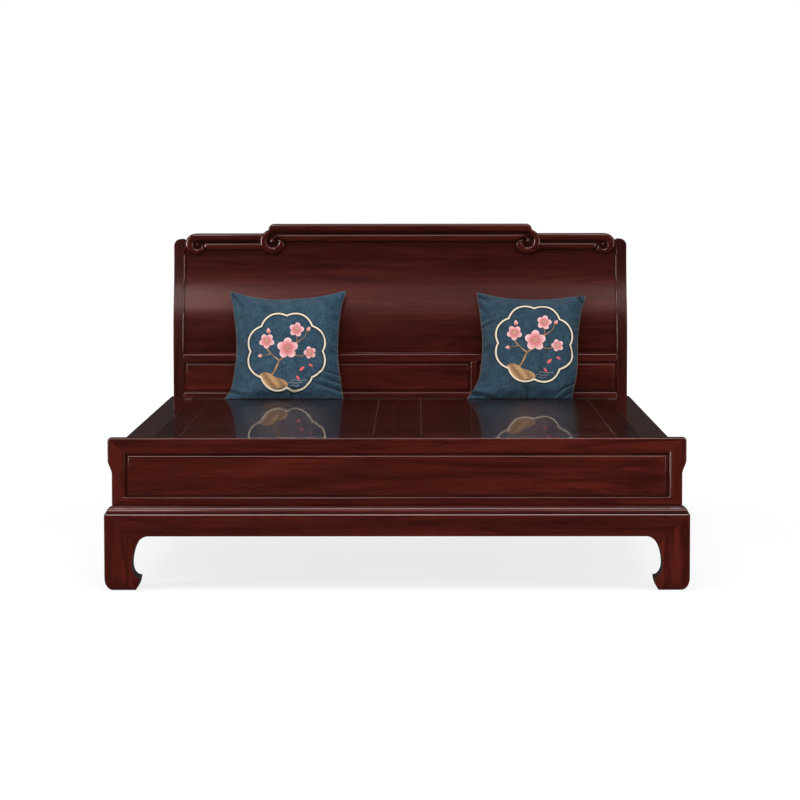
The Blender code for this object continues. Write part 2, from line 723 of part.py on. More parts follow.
def crest_outline(gap):
    """The centre crest: straight rail, a small upper lobe and a large scroll at each end, grown by gap."""
    scroll = (CREST_SCROLL_X, CREST_SCROLL_Z)
    lobe_z = CREST_TOP - CREST_LOBE_R
    notch = 68
    low = CREST_BOTTOM - gap
    meet = 180 - math.degrees(math.asin((low - CREST_SCROLL_Z) / (CREST_SCROLL_R + gap)))
    half = [(0, low)] + arc(scroll, CREST_SCROLL_R + gap, meet, 360 + notch, 3 * FINE_STEPS)
    half += arc((CREST_SCROLL_X, lobe_z), CREST_LOBE_R + gap, 10, 90, ROUND_STEPS)
    return half + mirrored(half)


def side_crest_outline(gap):
    """The right-hand crest: a lower rail that butts on the large scroll and ends in a small one."""
    scroll = (SIDE_SCROLL_X, SIDE_CREST_TOP - SIDE_SCROLL_R)
    low = SIDE_CREST_BOTTOM - gap
    meet = 180 - math.degrees(math.asin((low - scroll[1]) / (SIDE_SCROLL_R + gap)))
    big = (CREST_SCROLL_X, CREST_SCROLL_Z)
    reach = (CREST_SCROLL_R + CLEAR - gap) / math.cos(math.pi / 4 / FINE_STEPS)
    foot = math.degrees(math.asin((low - big[1]) / reach))
    head = math.degrees(math.asin((SIDE_CREST_TOP + gap - big[1]) / reach))
    half = arc(scroll, SIDE_SCROLL_R + gap, meet, 450, 2 * FINE_STEPS)
    return half + arc(big, reach, head, foot, FINE_STEPS)


def curl(start, centre, first):
    """A path in (x, height): a straight run that then curls into the eye of a scroll."""
    path = [(start, centre[1] + first)]
    turns = int(GROOVE_TURNS * 2 * FINE_STEPS)
    for step in range(turns + 1):
        share = step / turns
        angle = math.pi / 2 - 2 * math.pi * GROOVE_TURNS * share
        radius = first + (GROOVE_EYE - first) * share
        path.append((centre[0] + radius * math.cos(angle), centre[1] + radius * math.sin(angle)))
    return path


def groove(name, path, collection):
    """A round cutter along a path on the crests' face."""
    data = bpy.data.curves.new(name + "_path", "CURVE")
    data.dimensions = "3D"
    data.bevel_depth = GROOVE_R
    data.bevel_resolution = 1
    data.use_fill_caps = True
    spline = data.splines.new("POLY")
    spline.points.add(len(path) - 1)
    for point, (across, up) in zip(spline.points, path):
        point.co = (across, CREST_FACE, up, 1)
    curve = bpy.data.objects.new(name + "_path", data)
    collection.objects.link(curve)
    return curve_to_mesh(curve, name, collection)


def crest_front(first, second):
    return near(first.y, CREST_FACE) and near(second.y, CREST_FACE)


def make_crests(bed):
    eye = (CREST_SCROLL_X, CREST_TOP - CREST_ROLL - CREST_GROOVE_SPIRAL)
    long_path = curl(0, eye, CREST_GROOVE_SPIRAL)
    long_path = mirrored(long_path) + long_path[1:]
    eye = (SIDE_SCROLL_X, SIDE_CREST_TOP - SIDE_ROLL - SIDE_GROOVE_SPIRAL)
    short_path = curl(CREST_SCROLL_X, eye, SIDE_GROOVE_SPIRAL)
    side = side_crest_outline(0)
    crests = (
        ("crest_centre", crest_outline(0), long_path),
        ("crest_right", side, short_path),
        ("crest_left", mirrored(side), mirrored(short_path)),
    )
    for name, outline, path in crests:
        crest = prism(name, outline, "XZ", CREST_FACE, HEAD_BACK, bed.pieces)
        round_edges(crest, CREST_ROUND, 2, crest_front)
        boolean(crest, groove(name + "_groove", path, bed.cutters), "DIFFERENCE")
        bed.finish(crest, ROSEWOOD)


def make_head_panel(bed):
    """The large plain panel, cut on top to the crests, and the battens that stiffen its back."""
    half = POST_INNER - CLEAR
    low = MID_RAIL_TOP + CLEAR
    panel = leaning_slab("head_panel_main", PANEL_SETBACK, PANEL_BACK_LINE, low, CREST_BOTTOM - CLEAR,
                         (-half, half), bed.pieces)
    for name, outline in (("panel_cut_centre", crest_outline(CLEAR)),
                          ("panel_cut_right", side_crest_outline(CLEAR)),
                          ("panel_cut_left", mirrored(side_crest_outline(CLEAR)))):
        cut = prism(name, outline, "XZ", HEAD_FACE, HEAD_BACK + LEAN, bed.cutters)
        boolean(panel, cut, "DIFFERENCE")
    bed.finish(panel, FIELD_WOOD)
    for name, side in (("head_batten_left", -1), ("head_batten_right", 1)):
        middle = side * BACK_BATTEN_AT
        span = (middle - BACK_BATTEN_WIDTH / 2, middle + BACK_BATTEN_WIDTH / 2)
        batten = leaning_slab(name, PANEL_BACK_LINE + CLEAR, POST_DEPTH, low, CREST_BOTTOM - CLEAR, span,
                              bed.pieces)
        bed.finish(batten, HIDDEN_WOOD)


# Cushions
def cushion_mesh(name):
    """A square pillow, lying flat: a coarse cage with a crown, drawn-in sides and corner ears."""
    shape = bmesh.new()
    bmesh.ops.create_grid(shape, x_segments=4, y_segments=4, size=0.5)
    bmesh.ops.solidify(shape, geom=shape.faces[:], thickness=1.0)
    top = max(vert.co.z for vert in shape.verts)
    bottom = min(vert.co.z for vert in shape.verts)
    for vert in shape.verts:
        across, along = 2 * vert.co.x, 2 * vert.co.y
        upper = vert.co.z > (top + bottom) / 2
        crown = (1 - across * across) * (1 - along * along)
        thick = CUSHION_EDGE + (CUSHION_THICK - CUSHION_EDGE) * math.sqrt(max(crown, 0))
        ear = CUSHION_EAR * (across * along) ** 4
        vert.co.x = across * (CUSHION_SIDE / 2 + ear - CUSHION_WAIST * (1 - along * along))
        vert.co.y = along * (CUSHION_SIDE / 2 + ear - CUSHION_WAIST * (1 - across * across))
        vert.co.z = thick / 2 if upper else -thick / 2
    bmesh.ops.recalc_face_normals(shape, faces=shape.faces)
    mesh = bpy.data.meshes.new(name)
    shape.to_mesh(mesh)
    shape.free()
    mesh.shade_smooth()
    return mesh


def evaluated_points(obj):
    bpy.context.view_layer.update()
    shown = obj.evaluated_get(bpy.context.evaluated_depsgraph_get())
    return [shown.matrix_world @ vert.co for vert in shown.data.vertices]


def lean_at(height):
    """How far back of its lower face the headboard's main panel stands at a height."""
    share = min(max((height - LEAN_START) / (LEAN_END - LEAN_START), 0), 1)
    return PANEL_SETBACK + LEAN * share * share * (3 - 2 * share)


def make_cushions(bed, holders):
    for name, middle, roll in CUSHION_SETS:
        word = name.split("_")[1]
        cushion = bpy.data.objects.new(name, cushion_mesh(name))
        bed.pieces.objects.link(cushion)
        soft = cushion.modifiers.new("soft_form", "SUBSURF")
        soft.levels = 2
        soft.render_levels = 2
        lean = Matrix.Rotation(math.radians(90 - CUSHION_LEAN), 4, "X")
        cushion.matrix_world = Matrix.Rotation(math.radians(roll), 4, "Y") @ lean
        spots = evaluated_points(cushion)
        rest = DECK_HEIGHT + CLEAR - min(spot.z for spot in spots)
        high = [spot for spot in spots if spot.z + rest > MID_RAIL_TOP]
        back = min(HEAD_FACE + lean_at(spot.z + rest) - spot.y for spot in high)
        cushion.location = (middle, back - CUSHION_CLEAR, rest)
        holder = bed.empty(f"{name}_lift", (middle, cushion.location.y, DECK_HEIGHT))
        bpy.context.view_layer.update()
        holder.parent = holders[word]
        holder.matrix_parent_inverse = holders[word].matrix_world.inverted()
        bed.finish(cushion, CLOTH, holder)


def main():
    clear_scene()
    bed = Bed()
    make_legs(bed)
    make_apron(bed)
    make_waist(bed)
    make_foot_frame(bed)
    make_foot_panel(bed)
    make_foot_posts(bed)
    make_side_rails(bed)
    make_bearers(bed)
    make_brackets(bed)
    holders = make_deck(bed)
    make_posts(bed)
    make_head_frame(bed)
    make_crests(bed)
    make_head_panel(bed)
    make_cushions(bed, holders)


main()
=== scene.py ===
"""Studio view of a double bed in polished dark rosewood with two leaning cushions."""

import math
from collections import namedtuple
from functools import partial

import bmesh
import bpy
import numpy as np
from mathutils import Matrix, Vector
from mathutils.bvhtree import BVHTree


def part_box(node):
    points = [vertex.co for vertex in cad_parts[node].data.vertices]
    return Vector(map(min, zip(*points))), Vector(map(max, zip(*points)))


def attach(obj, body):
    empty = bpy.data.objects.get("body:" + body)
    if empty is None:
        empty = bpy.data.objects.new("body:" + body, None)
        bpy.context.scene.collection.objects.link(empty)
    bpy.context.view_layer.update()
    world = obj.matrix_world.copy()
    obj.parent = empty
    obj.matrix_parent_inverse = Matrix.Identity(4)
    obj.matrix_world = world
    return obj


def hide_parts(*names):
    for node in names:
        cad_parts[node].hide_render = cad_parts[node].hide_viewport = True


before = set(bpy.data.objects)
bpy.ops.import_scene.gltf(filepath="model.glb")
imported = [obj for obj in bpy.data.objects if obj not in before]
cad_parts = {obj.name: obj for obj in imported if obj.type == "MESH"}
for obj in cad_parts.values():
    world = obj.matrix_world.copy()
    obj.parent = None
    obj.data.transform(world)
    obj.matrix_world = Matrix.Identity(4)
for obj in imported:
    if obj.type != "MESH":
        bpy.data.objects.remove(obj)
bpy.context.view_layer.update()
SCENE = bpy.context.scene

# Camera, fitted to the viewing angle
CAMERA_PLACE = (0.0735, -11.834, 1.4246)
CAMERA_PITCH = 0.07127
CAMERA_YAW = 0.00573
CAMERA_ROLL = 0.0012
CAMERA_LENS = 141.13

# Wood tones from dark streak to light streak
TONES = {
    "frame": ((0.024, 0.004, 0.0026), (0.057, 0.007, 0.0042), (0.097, 0.0131, 0.0073)),
    "field": ((0.0215, 0.0037, 0.0023), (0.0545, 0.0068, 0.0039), (0.103, 0.014, 0.0074)),
    "head": ((0.02, 0.0034, 0.0022), (0.043, 0.0054, 0.0032), (0.068, 0.009, 0.005)),
    "panel": ((0.01, 0.0018, 0.0013), (0.029, 0.0039, 0.0024), (0.062, 0.0084, 0.0047)),
    "low": ((0.026, 0.0045, 0.003), (0.06, 0.0078, 0.0048), (0.106, 0.0148, 0.0084)),
    "post": ((0.012, 0.0021, 0.0017), (0.028, 0.0037, 0.0025), (0.048, 0.0062, 0.0038)),
    # Pale edge wood for the deck fields' rounded edges: wear and a painted highlight on the arrises
    "wear_and_highlight": ((0.08, 0.034, 0.028), (0.12, 0.056, 0.047), (0.16, 0.08, 0.068)),
    # Dark wood for the crest's ground and the deck's seam tongue: painted shade in the grooves and the seam
    "groove": ((0.007, 0.0015, 0.0011), (0.014, 0.0024, 0.0016), (0.024, 0.0038, 0.0025)),
    "deck": ((0.006, 0.0015, 0.0012), (0.015, 0.0028, 0.002), (0.027, 0.005, 0.0035)),
    "inner": ((0.09, 0.033, 0.018), (0.17, 0.07, 0.039), (0.25, 0.12, 0.072)),
}
GRAIN = {"X": (0.06, 1.0, 1.0), "Y": (1.0, 0.06, 1.0), "Z": (1.0, 1.0, 0.06)}

# Noise in the wood, as (scale, detail, roughness, distortion), and the broad figure's share in it
FIGURE = (11.0, 5.0, 0.58, 0.9)
STREAKS = (95.0, 4.0, 0.62, 0.25)
PORES = (520.0, 2.0, 0.5)
VEINS = (19.0, 3.0, 0.5, 0.7)
FIGURE_SHARE = 0.6

# Dark veins: half their width in the noise they follow, their depth and tint; the depth and tint of pores
VEIN_WIDTH = 0.05
VEIN_DEPTH = 1.15
VEIN_DARK = (0.24, 0.18, 0.18, 1.0)
PORE_DEPTH = 0.42
PORE_DARK = (0.45, 0.38, 0.36, 1.0)

# Where a wood's three tones stand from dark to light; polished and dull wood's range of roughness and their
# pores' strength and depth; how far dull wood shines
TONE_STOPS = (0.3, 0.5, 0.72)
POLISHED = ((0.24, 0.36), (0.05, 0.0006))
DULL = ((0.42, 0.62), (0.22, 0.0008))
DULL_GLOSS = 0.35

# Roughness of the clear coat, and how much of it lies on the deck, the main panel and the posts
FRAME_POLISH = 0.08
HEAD_POLISH = 0.16
POST_POLISH = 0.24
DECK_POLISH = 0.03
DECK_COAT = 0.36
PANEL_COAT = 0.25
POST_COAT = 0.45

# The warm gloss of the wood under the coat
WARM_TINT = (1.0, 0.3, 0.25, 1.0)
WARM_GLOSS = 0.15
PANEL_GLOSS = 0.4
LOW_GLOSS = 0.24

# How far the wooden pieces' edges are rounded, from which angle on, and how long a mitre's edge is at least
ARRIS = 0.0016
FINE_ARRIS = 0.0008
LEG_ARRIS = 0.0045
SHARP_ANGLE = math.radians(35)
MITRE_RUN = 0.015

# How near points are joined and how little faces turn to be made one, before the edges are rounded
WELD_REACH = 0.00002
FLAT_ANGLE = math.radians(0.4)

# Pieces that don't show, beside the battens, and how far the grain is shifted from piece to piece
HIDDEN_PIECES = ("bearer", "rail_ledger", "foot_ledger", "head_ledger", "foot_post")
GRAIN_SHIFT = (0.37, 0.61, 0.83)


def settle(thing, **values):
    """Sets several properties at once."""
    for key, value in values.items():
        setattr(thing, key, value)
    return thing


# Materials
def feed(node, values):
    """Gives a node's inputs, by name or number, a value or a link from another node."""
    for key, value in values.items():
        if isinstance(value, bpy.types.NodeSocket):
            node.id_data.links.new(value, node.inputs[key])
        else:
            node.inputs[key].default_value = value


def add(tree, kind, inputs=None, **settings):
    node = settle(tree.nodes.new(kind), **settings)
    feed(node, inputs or {})
    return node


def new_material(name):
    made = bpy.data.materials.new(name)
    made.use_nodes = True
    tree = made.node_tree
    return made, tree, tree.nodes["Principled BSDF"]


def object_place(tree):
    return add(tree, "ShaderNodeTexCoord").outputs["Object"]


def attribute(tree, name):
    return add(tree, "ShaderNodeAttribute", attribute_name=name).outputs


def scaled(tree, scale, shift=(0.0, 0.0, 0.0)):
    """Places on the object, shifted and stretched."""
    inputs = {"Vector": object_place(tree), "Location": shift, "Scale": scale}
    return add(tree, "ShaderNodeMapping", inputs).outputs["Vector"]


def noise(tree, vector, scale, detail, roughness, distortion=0.0):
    inputs = {"Vector": vector, "Scale": scale, "Detail": detail, "Roughness": roughness}
    return add(tree, "ShaderNodeTexNoise", {**inputs, "Distortion": distortion}).outputs["Fac"]


def math_node(tree, operation, first, second=0.0):
    return add(tree, "ShaderNodeMath", {0: first, 1: second}, operation=operation).outputs[0]


def weighted(tree, first, second, share):
    """The first value by a share, and the second by the rest."""
    rest = math_node(tree, "MULTIPLY", second, 1 - share)
    return math_node(tree, "ADD", math_node(tree, "MULTIPLY", first, share), rest)


def ramp(tree, factor, stops):
    """A colour ramp from pairs of (place, colour)."""
    made = add(tree, "ShaderNodeValToRGB", {"Fac": factor})
    elements = made.color_ramp.elements
    stops = list(stops)
    while len(elements) < len(stops):
        elements.new(0.5)
    for element, (place, colour) in zip(elements, stops):
        element.position = place
        element.color = (*colour, 1.0)
    return made.outputs["Color"]


def spread(tree, value, low, high, start=0.0, end=1.0):
    """A value between start and end taken to another range."""
    inputs = {"Value": value, "From Min": start, "From Max": end, "To Min": low, "To Max": high}
    return add(tree, "ShaderNodeMapRange", inputs).outputs["Result"]


def bump(tree, shader, height, strength, distance):
    made = add(tree, "ShaderNodeBump", {"Height": height, "Strength": strength, "Distance": distance})
    feed(shader, {"Normal": made.outputs["Normal"]})


def multiplied(tree, colour, share, other):
    """A colour multiplied by another one, by a share from 0 to 1; its colours are inputs 6 and 7."""
    inputs = {0: share, 6: colour, 7: other}
    return add(tree, "ShaderNodeMix", inputs, data_type="RGBA", blend_type="MULTIPLY").outputs[2]


def lacquered_wood(name, tone, axis, shift, gloss=True, polish=FRAME_POLISH, coat=1.0, warm=WARM_GLOSS):
    """Rosewood, grained along one axis: broad figure, dark veins, streaks and pores under a clear coat."""
    made, tree, shader = new_material(name)
    vector = scaled(tree, GRAIN[axis], shift)
    figure, streak, pores, contour = (noise(tree, vector, *kind) for kind in (FIGURE, STREAKS, PORES, VEINS))
    colour = ramp(tree, weighted(tree, figure, streak, FIGURE_SHARE), zip(TONE_STOPS, TONES[tone]))
    beside = math_node(tree, "ABSOLUTE", math_node(tree, "SUBTRACT", contour, 0.5))
    vein = math_node(tree, "SUBTRACT", 1.0, math_node(tree, "DIVIDE", beside, VEIN_WIDTH))
    depth = spread(tree, figure, 0.0, VEIN_DEPTH)
    vein = math_node(tree, "MULTIPLY", math_node(tree, "MAXIMUM", vein), depth)
    veined = multiplied(tree, colour, vein, VEIN_DARK)
    pored = multiplied(tree, veined, spread(tree, pores, 0.0, PORE_DEPTH), PORE_DARK)
    roughness, relief = POLISHED if gloss else DULL
    feed(shader, {"Base Color": pored, "Roughness": spread(tree, streak, *roughness)})
    bump(tree, shader, pores, *relief)
    if gloss:
        feed(shader, {"Specular IOR Level": warm, "Specular Tint": WARM_TINT, "Coat Weight": coat,
                      "Coat Roughness": polish, "Coat IOR": 1.5})
    else:
        feed(shader, {"Specular IOR Level": DULL_GLOSS})
    return made


def bracket_metal():
    made, tree, shader = new_material("bracket_zinc")
    place = object_place(tree)
    cloud = noise(tree, place, 60.0, 5.0, 0.6, 0.4)
    colour = ramp(tree, cloud, [(0.3, (0.3, 0.3, 0.32)), (0.7, (0.52, 0.52, 0.53))])
    feed(shader, {"Base Color": colour, "Metallic": 1.0, "Roughness": spread(tree, cloud, 0.28, 0.46)})
    bump(tree, shader, noise(tree, place, 900.0, 2.0, 0.5), 0.08, 0.0004)
    return made


# The wooden frame
def shading_group():
    """A modifier group: edges that turn little are shaded smooth, the others get a bevel weight.

    Long slanting edges are mitre joints, which stay almost closed."""
    group = bpy.data.node_groups.new("shading", "GeometryNodeTree")
    for way in ("INPUT", "OUTPUT"):
        group.interface.new_socket("Geometry", in_out=way, socket_type="NodeSocketGeometry")
    start = add(group, "NodeGroupInput").outputs[0]
    angle = add(group, "GeometryNodeInputMeshEdgeAngle").outputs["Unsigned Angle"]
    limits = {0: angle, 1: SHARP_ANGLE}
    soft = add(group, "FunctionNodeCompare", limits, data_type="FLOAT", operation="LESS_THAN").outputs[0]
    ends = add(group, "GeometryNodeInputMeshEdgeVertices").outputs
    spots = {0: ends["Position 1"], 1: ends["Position 2"]}
    along = add(group, "ShaderNodeVectorMath", spots, operation="SUBTRACT").outputs[0]
    size = add(group, "ShaderNodeSeparateXYZ", {0: along}).outputs
    runs = [math_node(group, "ABSOLUTE", size[axis]) for axis in "XZ"]
    mitre = math_node(group, "MULTIPLY", *(math_node(group, "GREATER_THAN", run, MITRE_RUN) for run in runs))
    sharp = math_node(group, "SUBTRACT", 1.0, soft)
    weight = math_node(group, "MULTIPLY", sharp, math_node(group, "SUBTRACT", 1.0, mitre))
    faces = add(group, "GeometryNodeSetShadeSmooth", {"Geometry": start}).outputs[0]
    inputs = {"Geometry": faces, "Shade Smooth": soft}
    edges = add(group, "GeometryNodeSetShadeSmooth", inputs, domain="EDGE").outputs[0]
    inputs = {"Geometry": edges, "Name": "bevel_weight_edge", "Value": weight}
    store = add(group, "GeometryNodeStoreNamedAttribute", inputs, data_type="FLOAT", domain="EDGE")
    add(group, "NodeGroupOutput", {0: store.outputs["Geometry"]})
    return group


SHADING = shading_group()


def soften(obj, width, segments=3, wear_and_highlight=None):
    """Joins a solid's flat faces, shades its curves smooth and rounds its sharp edges; a pale material given
    here colours the rounded edges as wear and a painted highlight.
    """
    add_modifier = obj.modifiers.new
    settle(add_modifier("weld", "WELD"), merge_threshold=WELD_REACH)
    settle(add_modifier("flat_faces", "DECIMATE"), decimate_type="DISSOLVE", angle_limit=FLAT_ANGLE)
    settle(add_modifier("shade", "NODES"), node_group=SHADING)
    edge = add_modifier("arris", "BEVEL")
    settle(edge, limit_method="WEIGHT", width=width, segments=segments)
    if wear_and_highlight:
        obj.data.materials.append(wear_and_highlight)
        edge.material = 1
    settle(add_modifier("even", "WEIGHTED_NORMAL"), keep_sharp=True, weight=100)


def grain_axis(name):
    """The way the grain runs in a piece: along its length."""
    low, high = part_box(name)
    size = high - low
    return "XYZ"[max(range(3), key=lambda axis: size[axis])]


def finish_of(name):
    """The tone and gloss of a wooden piece."""
    if name.startswith(HIDDEN_PIECES) or "batten" in name:
        return {"tone": "inner", "gloss": False}
    if name.startswith("deck"):
        return {"tone": "deck", "polish": DECK_POLISH, "coat": DECK_COAT}
    if name == "head_panel_main":
        return {"tone": "panel", "polish": HEAD_POLISH, "coat": PANEL_COAT, "warm": PANEL_GLOSS}
    if name.startswith("head_post"):
        return {"tone": "post", "polish": POST_POLISH, "coat": POST_COAT}
    if name.startswith("crest"):
        return {"tone": "head"}
    if name.startswith("head"):
        return {"tone": "low", "warm": LOW_GLOSS}
    if "panel" in name or name.startswith("rail_side"):
        return {"tone": "field"}
    return {"tone": "frame"}


def dress_frame():
    zinc = bracket_metal()
    # The deck fields' rounded edges get this pale dull wood, as wear and a painted highlight
    wear_and_highlight = lacquered_wood("wood_edge_wear_and_highlight", "wear_and_highlight", "Y", (0.5, 1.5, 0.9), gloss=False)
    names = sorted(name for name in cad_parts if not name.startswith("cushion"))
    for number, name in enumerate(names):
        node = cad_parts[name]
        node.data.materials.clear()
        if name.startswith("bracket"):
            node.data.materials.append(zinc)
            soften(node, FINE_ARRIS, 2)
            continue
        shift = [part * number for part in GRAIN_SHIFT]
        made = lacquered_wood("wood_" + name, axis=grain_axis(name), shift=shift, **finish_of(name))
        node.data.materials.append(made)
        if name.startswith("leg"):
            soften(node, LEG_ARRIS, 5)
        elif name == "apron":
            soften(node, ARRIS, 4)
        elif name.startswith("deck") and name.endswith("field"):
            soften(node, ARRIS, wear_and_highlight=wear_and_highlight)
        else:
            soften(node, FINE_ARRIS if name.startswith("deck") else ARRIS)


# The headboard's ogee: its lean, how far it starts above the mid rail and how far it ends below the crest
LEAN = 0.072
LEAN_RISE = 0.026
LEAN_DROP = 0.105

# A cushion's panels: their cut, how far sides and foot draw in, blunt corners, half the gap at rim and crown
CUSHION_CUT = 0.49
CUSHION_TALL = 0.503
CUSHION_DRAW = 0.017
CUSHION_FOOT_DRAW = 0.003
CUSHION_BLUNT = 0.012
CUSHION_OPEN = (0.003, 0.03)
CUSHION_CELLS = 56

# Its filling: frames of simulation, cloth settings, the pressure's least share, waves and gain at the foot
CUSHION_FRAMES = 26
CLOTH = {"quality": 6, "mass": 0.25, "tension_stiffness": 22, "compression_stiffness": 22,
         "shear_stiffness": 8, "bending_stiffness": 3.0, "use_pressure": True, "uniform_pressure_force": 0.6,
         "vertex_group_pressure": "fill", "vertex_group_shrink": "seam", "shrink_max": 0.02}
FILL_SHARES = (0.62, 0.2, 0.18)

# Its folds: the thickness over which they set in behind the rim, how they fade along and across, the place of
# their ridge, and their groove's place, width and depth, all in widths of the fold
FOLD_FRONT = 0.006
FOLD_FADE = 0.7
FOLD_REACH = 3.0
FOLD_RIDGE = 0.9
FOLD_GROOVE = (-0.5, 0.6, 1.25)

# How it lies: its lean in degrees, how far it sinks in where it rests, and the gap left there
CUSHION_LEAN = 24.0
CUSHION_SINK = 0.016
CUSHION_GAP = 0.0012

# Its trim: the piping's radius, the border's radius, waves and widths, and how far the picture is drawn up
PIPING_R = 0.0014
CARTOUCHE_R = 0.1535
CARTOUCHE_WAVE = 0.0085
CARTOUCHE_WIDTH = 0.0068
EDGING_WIDTH = 0.015
PICTURE_STRETCH = 1.05

# How each cushion lies: its middle along x, size, roll, shade (the cloth's brightness, lower on the right
# cushion as painted shade), the start of its filling's waves (seed) and the picture's centre.
# Folds are (start, end, height, width) in its own plane; ears are (corner, pull across, up and out, reach).
Setting = namedtuple("Setting", "side middle size roll shade seed centre folds ears")
SETTINGS = (
    Setting("left", -0.46, (0.995, 1.0), -0.5, 0.8, 3, (0.0014, -0.038), folds=(
        ((0.222, -0.018), (0.165, -0.012), 0.007, 0.008), ((0.232, -0.132), (0.11, -0.118), 0.011, 0.01),
        ((0.225, -0.205), (0.085, -0.165), 0.012, 0.011), ((0.215, -0.165), (0.13, -0.15), 0.008, 0.009),
        ((-0.225, -0.19), (-0.16, -0.215), 0.008, 0.009), ((-0.215, 0.225), (-0.165, 0.15), 0.006, 0.009),
        ((0.02, -0.235), (0.012, -0.175), 0.006, 0.008),
    ), ears=(
        ((-1, -1), (-0.02, 0.01, 0.01), 0.055), ((1, -1), (-0.006, 0.012, 0.004), 0.06),
        ((-1, 1), (-0.002, 0.008, 0.0), 0.06), ((1, 1), (0.01, 0.007, 0.0), 0.055),
    )),
    Setting("right", 0.529, (0.944, 0.985), 1.0, 0.64, 8, (0.014, -0.002), folds=(
        ((-0.222, 0.222), (-0.15, 0.19), 0.01, 0.0085), ((-0.215, 0.195), (-0.165, 0.13), 0.008, 0.0085),
        ((0.195, 0.235), (0.225, 0.175), 0.011, 0.0085), ((0.222, 0.105), (0.15, 0.06), 0.008, 0.009),
        ((0.222, -0.15), (0.105, -0.228), 0.013, 0.0105), ((0.222, -0.19), (0.15, -0.242), 0.011, 0.009),
        ((-0.205, 0.085), (-0.135, 0.1), 0.0075, 0.0085), ((-0.215, -0.205), (-0.12, -0.225), 0.01, 0.0095),
        ((-0.01, -0.238), (-0.028, -0.165), 0.0075, 0.01),
    ), ears=(
        ((-1, -1), (-0.038, 0.004, 0.012), 0.075), ((1, -1), (-0.054, 0.004, 0.004), 0.12),
        ((-1, 1), (0.002, 0.004, 0.0), 0.055), ((1, 1), (0.007, -0.005, 0.0), 0.055),
    )),
)


def mesh_of(shape, name):
    mesh = bpy.data.meshes.new(name)
    shape.to_mesh(mesh)
    shape.free()
    return mesh


def placed(name, data):
    obj = bpy.data.objects.new(name, data)
    SCENE.collection.objects.link(obj)
    return obj


def pillow_mesh(name, size):
    """Two panels sewn round their rim, a little apart in the middle, and the rim's points in order."""
    cells = CUSHION_CELLS
    shape = bmesh.new()
    grids = {}
    for face in (1, -1):
        for row in range(cells + 1):
            for column in range(cells + 1):
                rim = row in (0, cells) or column in (0, cells)
                if face < 0 and rim:
                    grids[face, row, column] = grids[1, row, column]
                    continue
                across = 2 * column / cells - 1
                along = 2 * row / cells - 1
                crown = math.sqrt(max((1 - across ** 2) * (1 - along ** 2), 0))
                lift = 0.0 if rim else face * (CUSHION_OPEN[0] + CUSHION_OPEN[1] * crown)
                x = across * (CUSHION_CUT / 2 - CUSHION_DRAW * (1 - along ** 2))
                draw = CUSHION_DRAW if along > 0 else CUSHION_FOOT_DRAW
                y = along * (CUSHION_TALL / 2 - draw * (1 - across ** 2))
                blunt = 1 - CUSHION_BLUNT * abs(across * along) ** 14
                grids[face, row, column] = shape.verts.new((size[0] * x * blunt, size[1] * y * blunt, lift))
    for face in (1, -1):
        for row in range(cells):
            for column in range(cells):
                corners = [grids[face, row, column], grids[face, row, column + 1],
                           grids[face, row + 1, column + 1], grids[face, row + 1, column]]
                shape.faces.new(corners if face > 0 else corners[::-1])
    shape.verts.index_update()
    order = [(0, step) for step in range(cells)] + [(step, cells) for step in range(cells)]
    order += [(cells - row, cells - column) for row, column in order]
    rim = [grids[1, row, column].index for row, column in order]
    return mesh_of(shape, name), rim


def inflate(obj, rim, seed):
    """Fills the sewn panels by cloth simulation, unevenly, with the seam drawn in a little."""
    seam = obj.vertex_groups.new(name="seam")
    seam.add(rim, 1.0, "REPLACE")
    fill = obj.vertex_groups.new(name="fill")
    least, waves, foot = FILL_SHARES
    for vert in obj.data.vertices:
        uneven = 0.5 + 0.5 * math.sin(9 * vert.co.x + seed) * math.cos(7 * vert.co.y - 2 * seed)
        low = 0.5 - vert.co.y / CUSHION_CUT
        fill.add([vert.index], least + waves * uneven + foot * low, "REPLACE")
    cloth = obj.modifiers.new("cloth", "CLOTH")
    settle(cloth.settings, **CLOTH)
    cloth.settings.effector_weights.gravity = 0.0
    cloth.collision_settings.use_collision = False
    settle(cloth.point_cache, frame_start=1, frame_end=CUSHION_FRAMES)
    for step in range(1, CUSHION_FRAMES + 1):
        SCENE.frame_set(step)
    obj.modifiers.new("finer", "SUBSURF").levels = 1
    bpy.context.view_layer.update()
    filled = obj.evaluated_get(bpy.context.evaluated_depsgraph_get())
    mesh = bpy.data.meshes.new_from_object(filled)
    obj.modifiers.clear()
    obj.vertex_groups.clear()
    obj.data = mesh
    SCENE.frame_set(1)


def points_of(mesh):
    flat = np.zeros(len(mesh.vertices) * 3)
    mesh.vertices.foreach_get("co", flat)
    return flat.reshape(-1, 3)


def set_points(mesh, points):
    mesh.vertices.foreach_set("co", np.asarray(points, float).ravel())
    mesh.update()


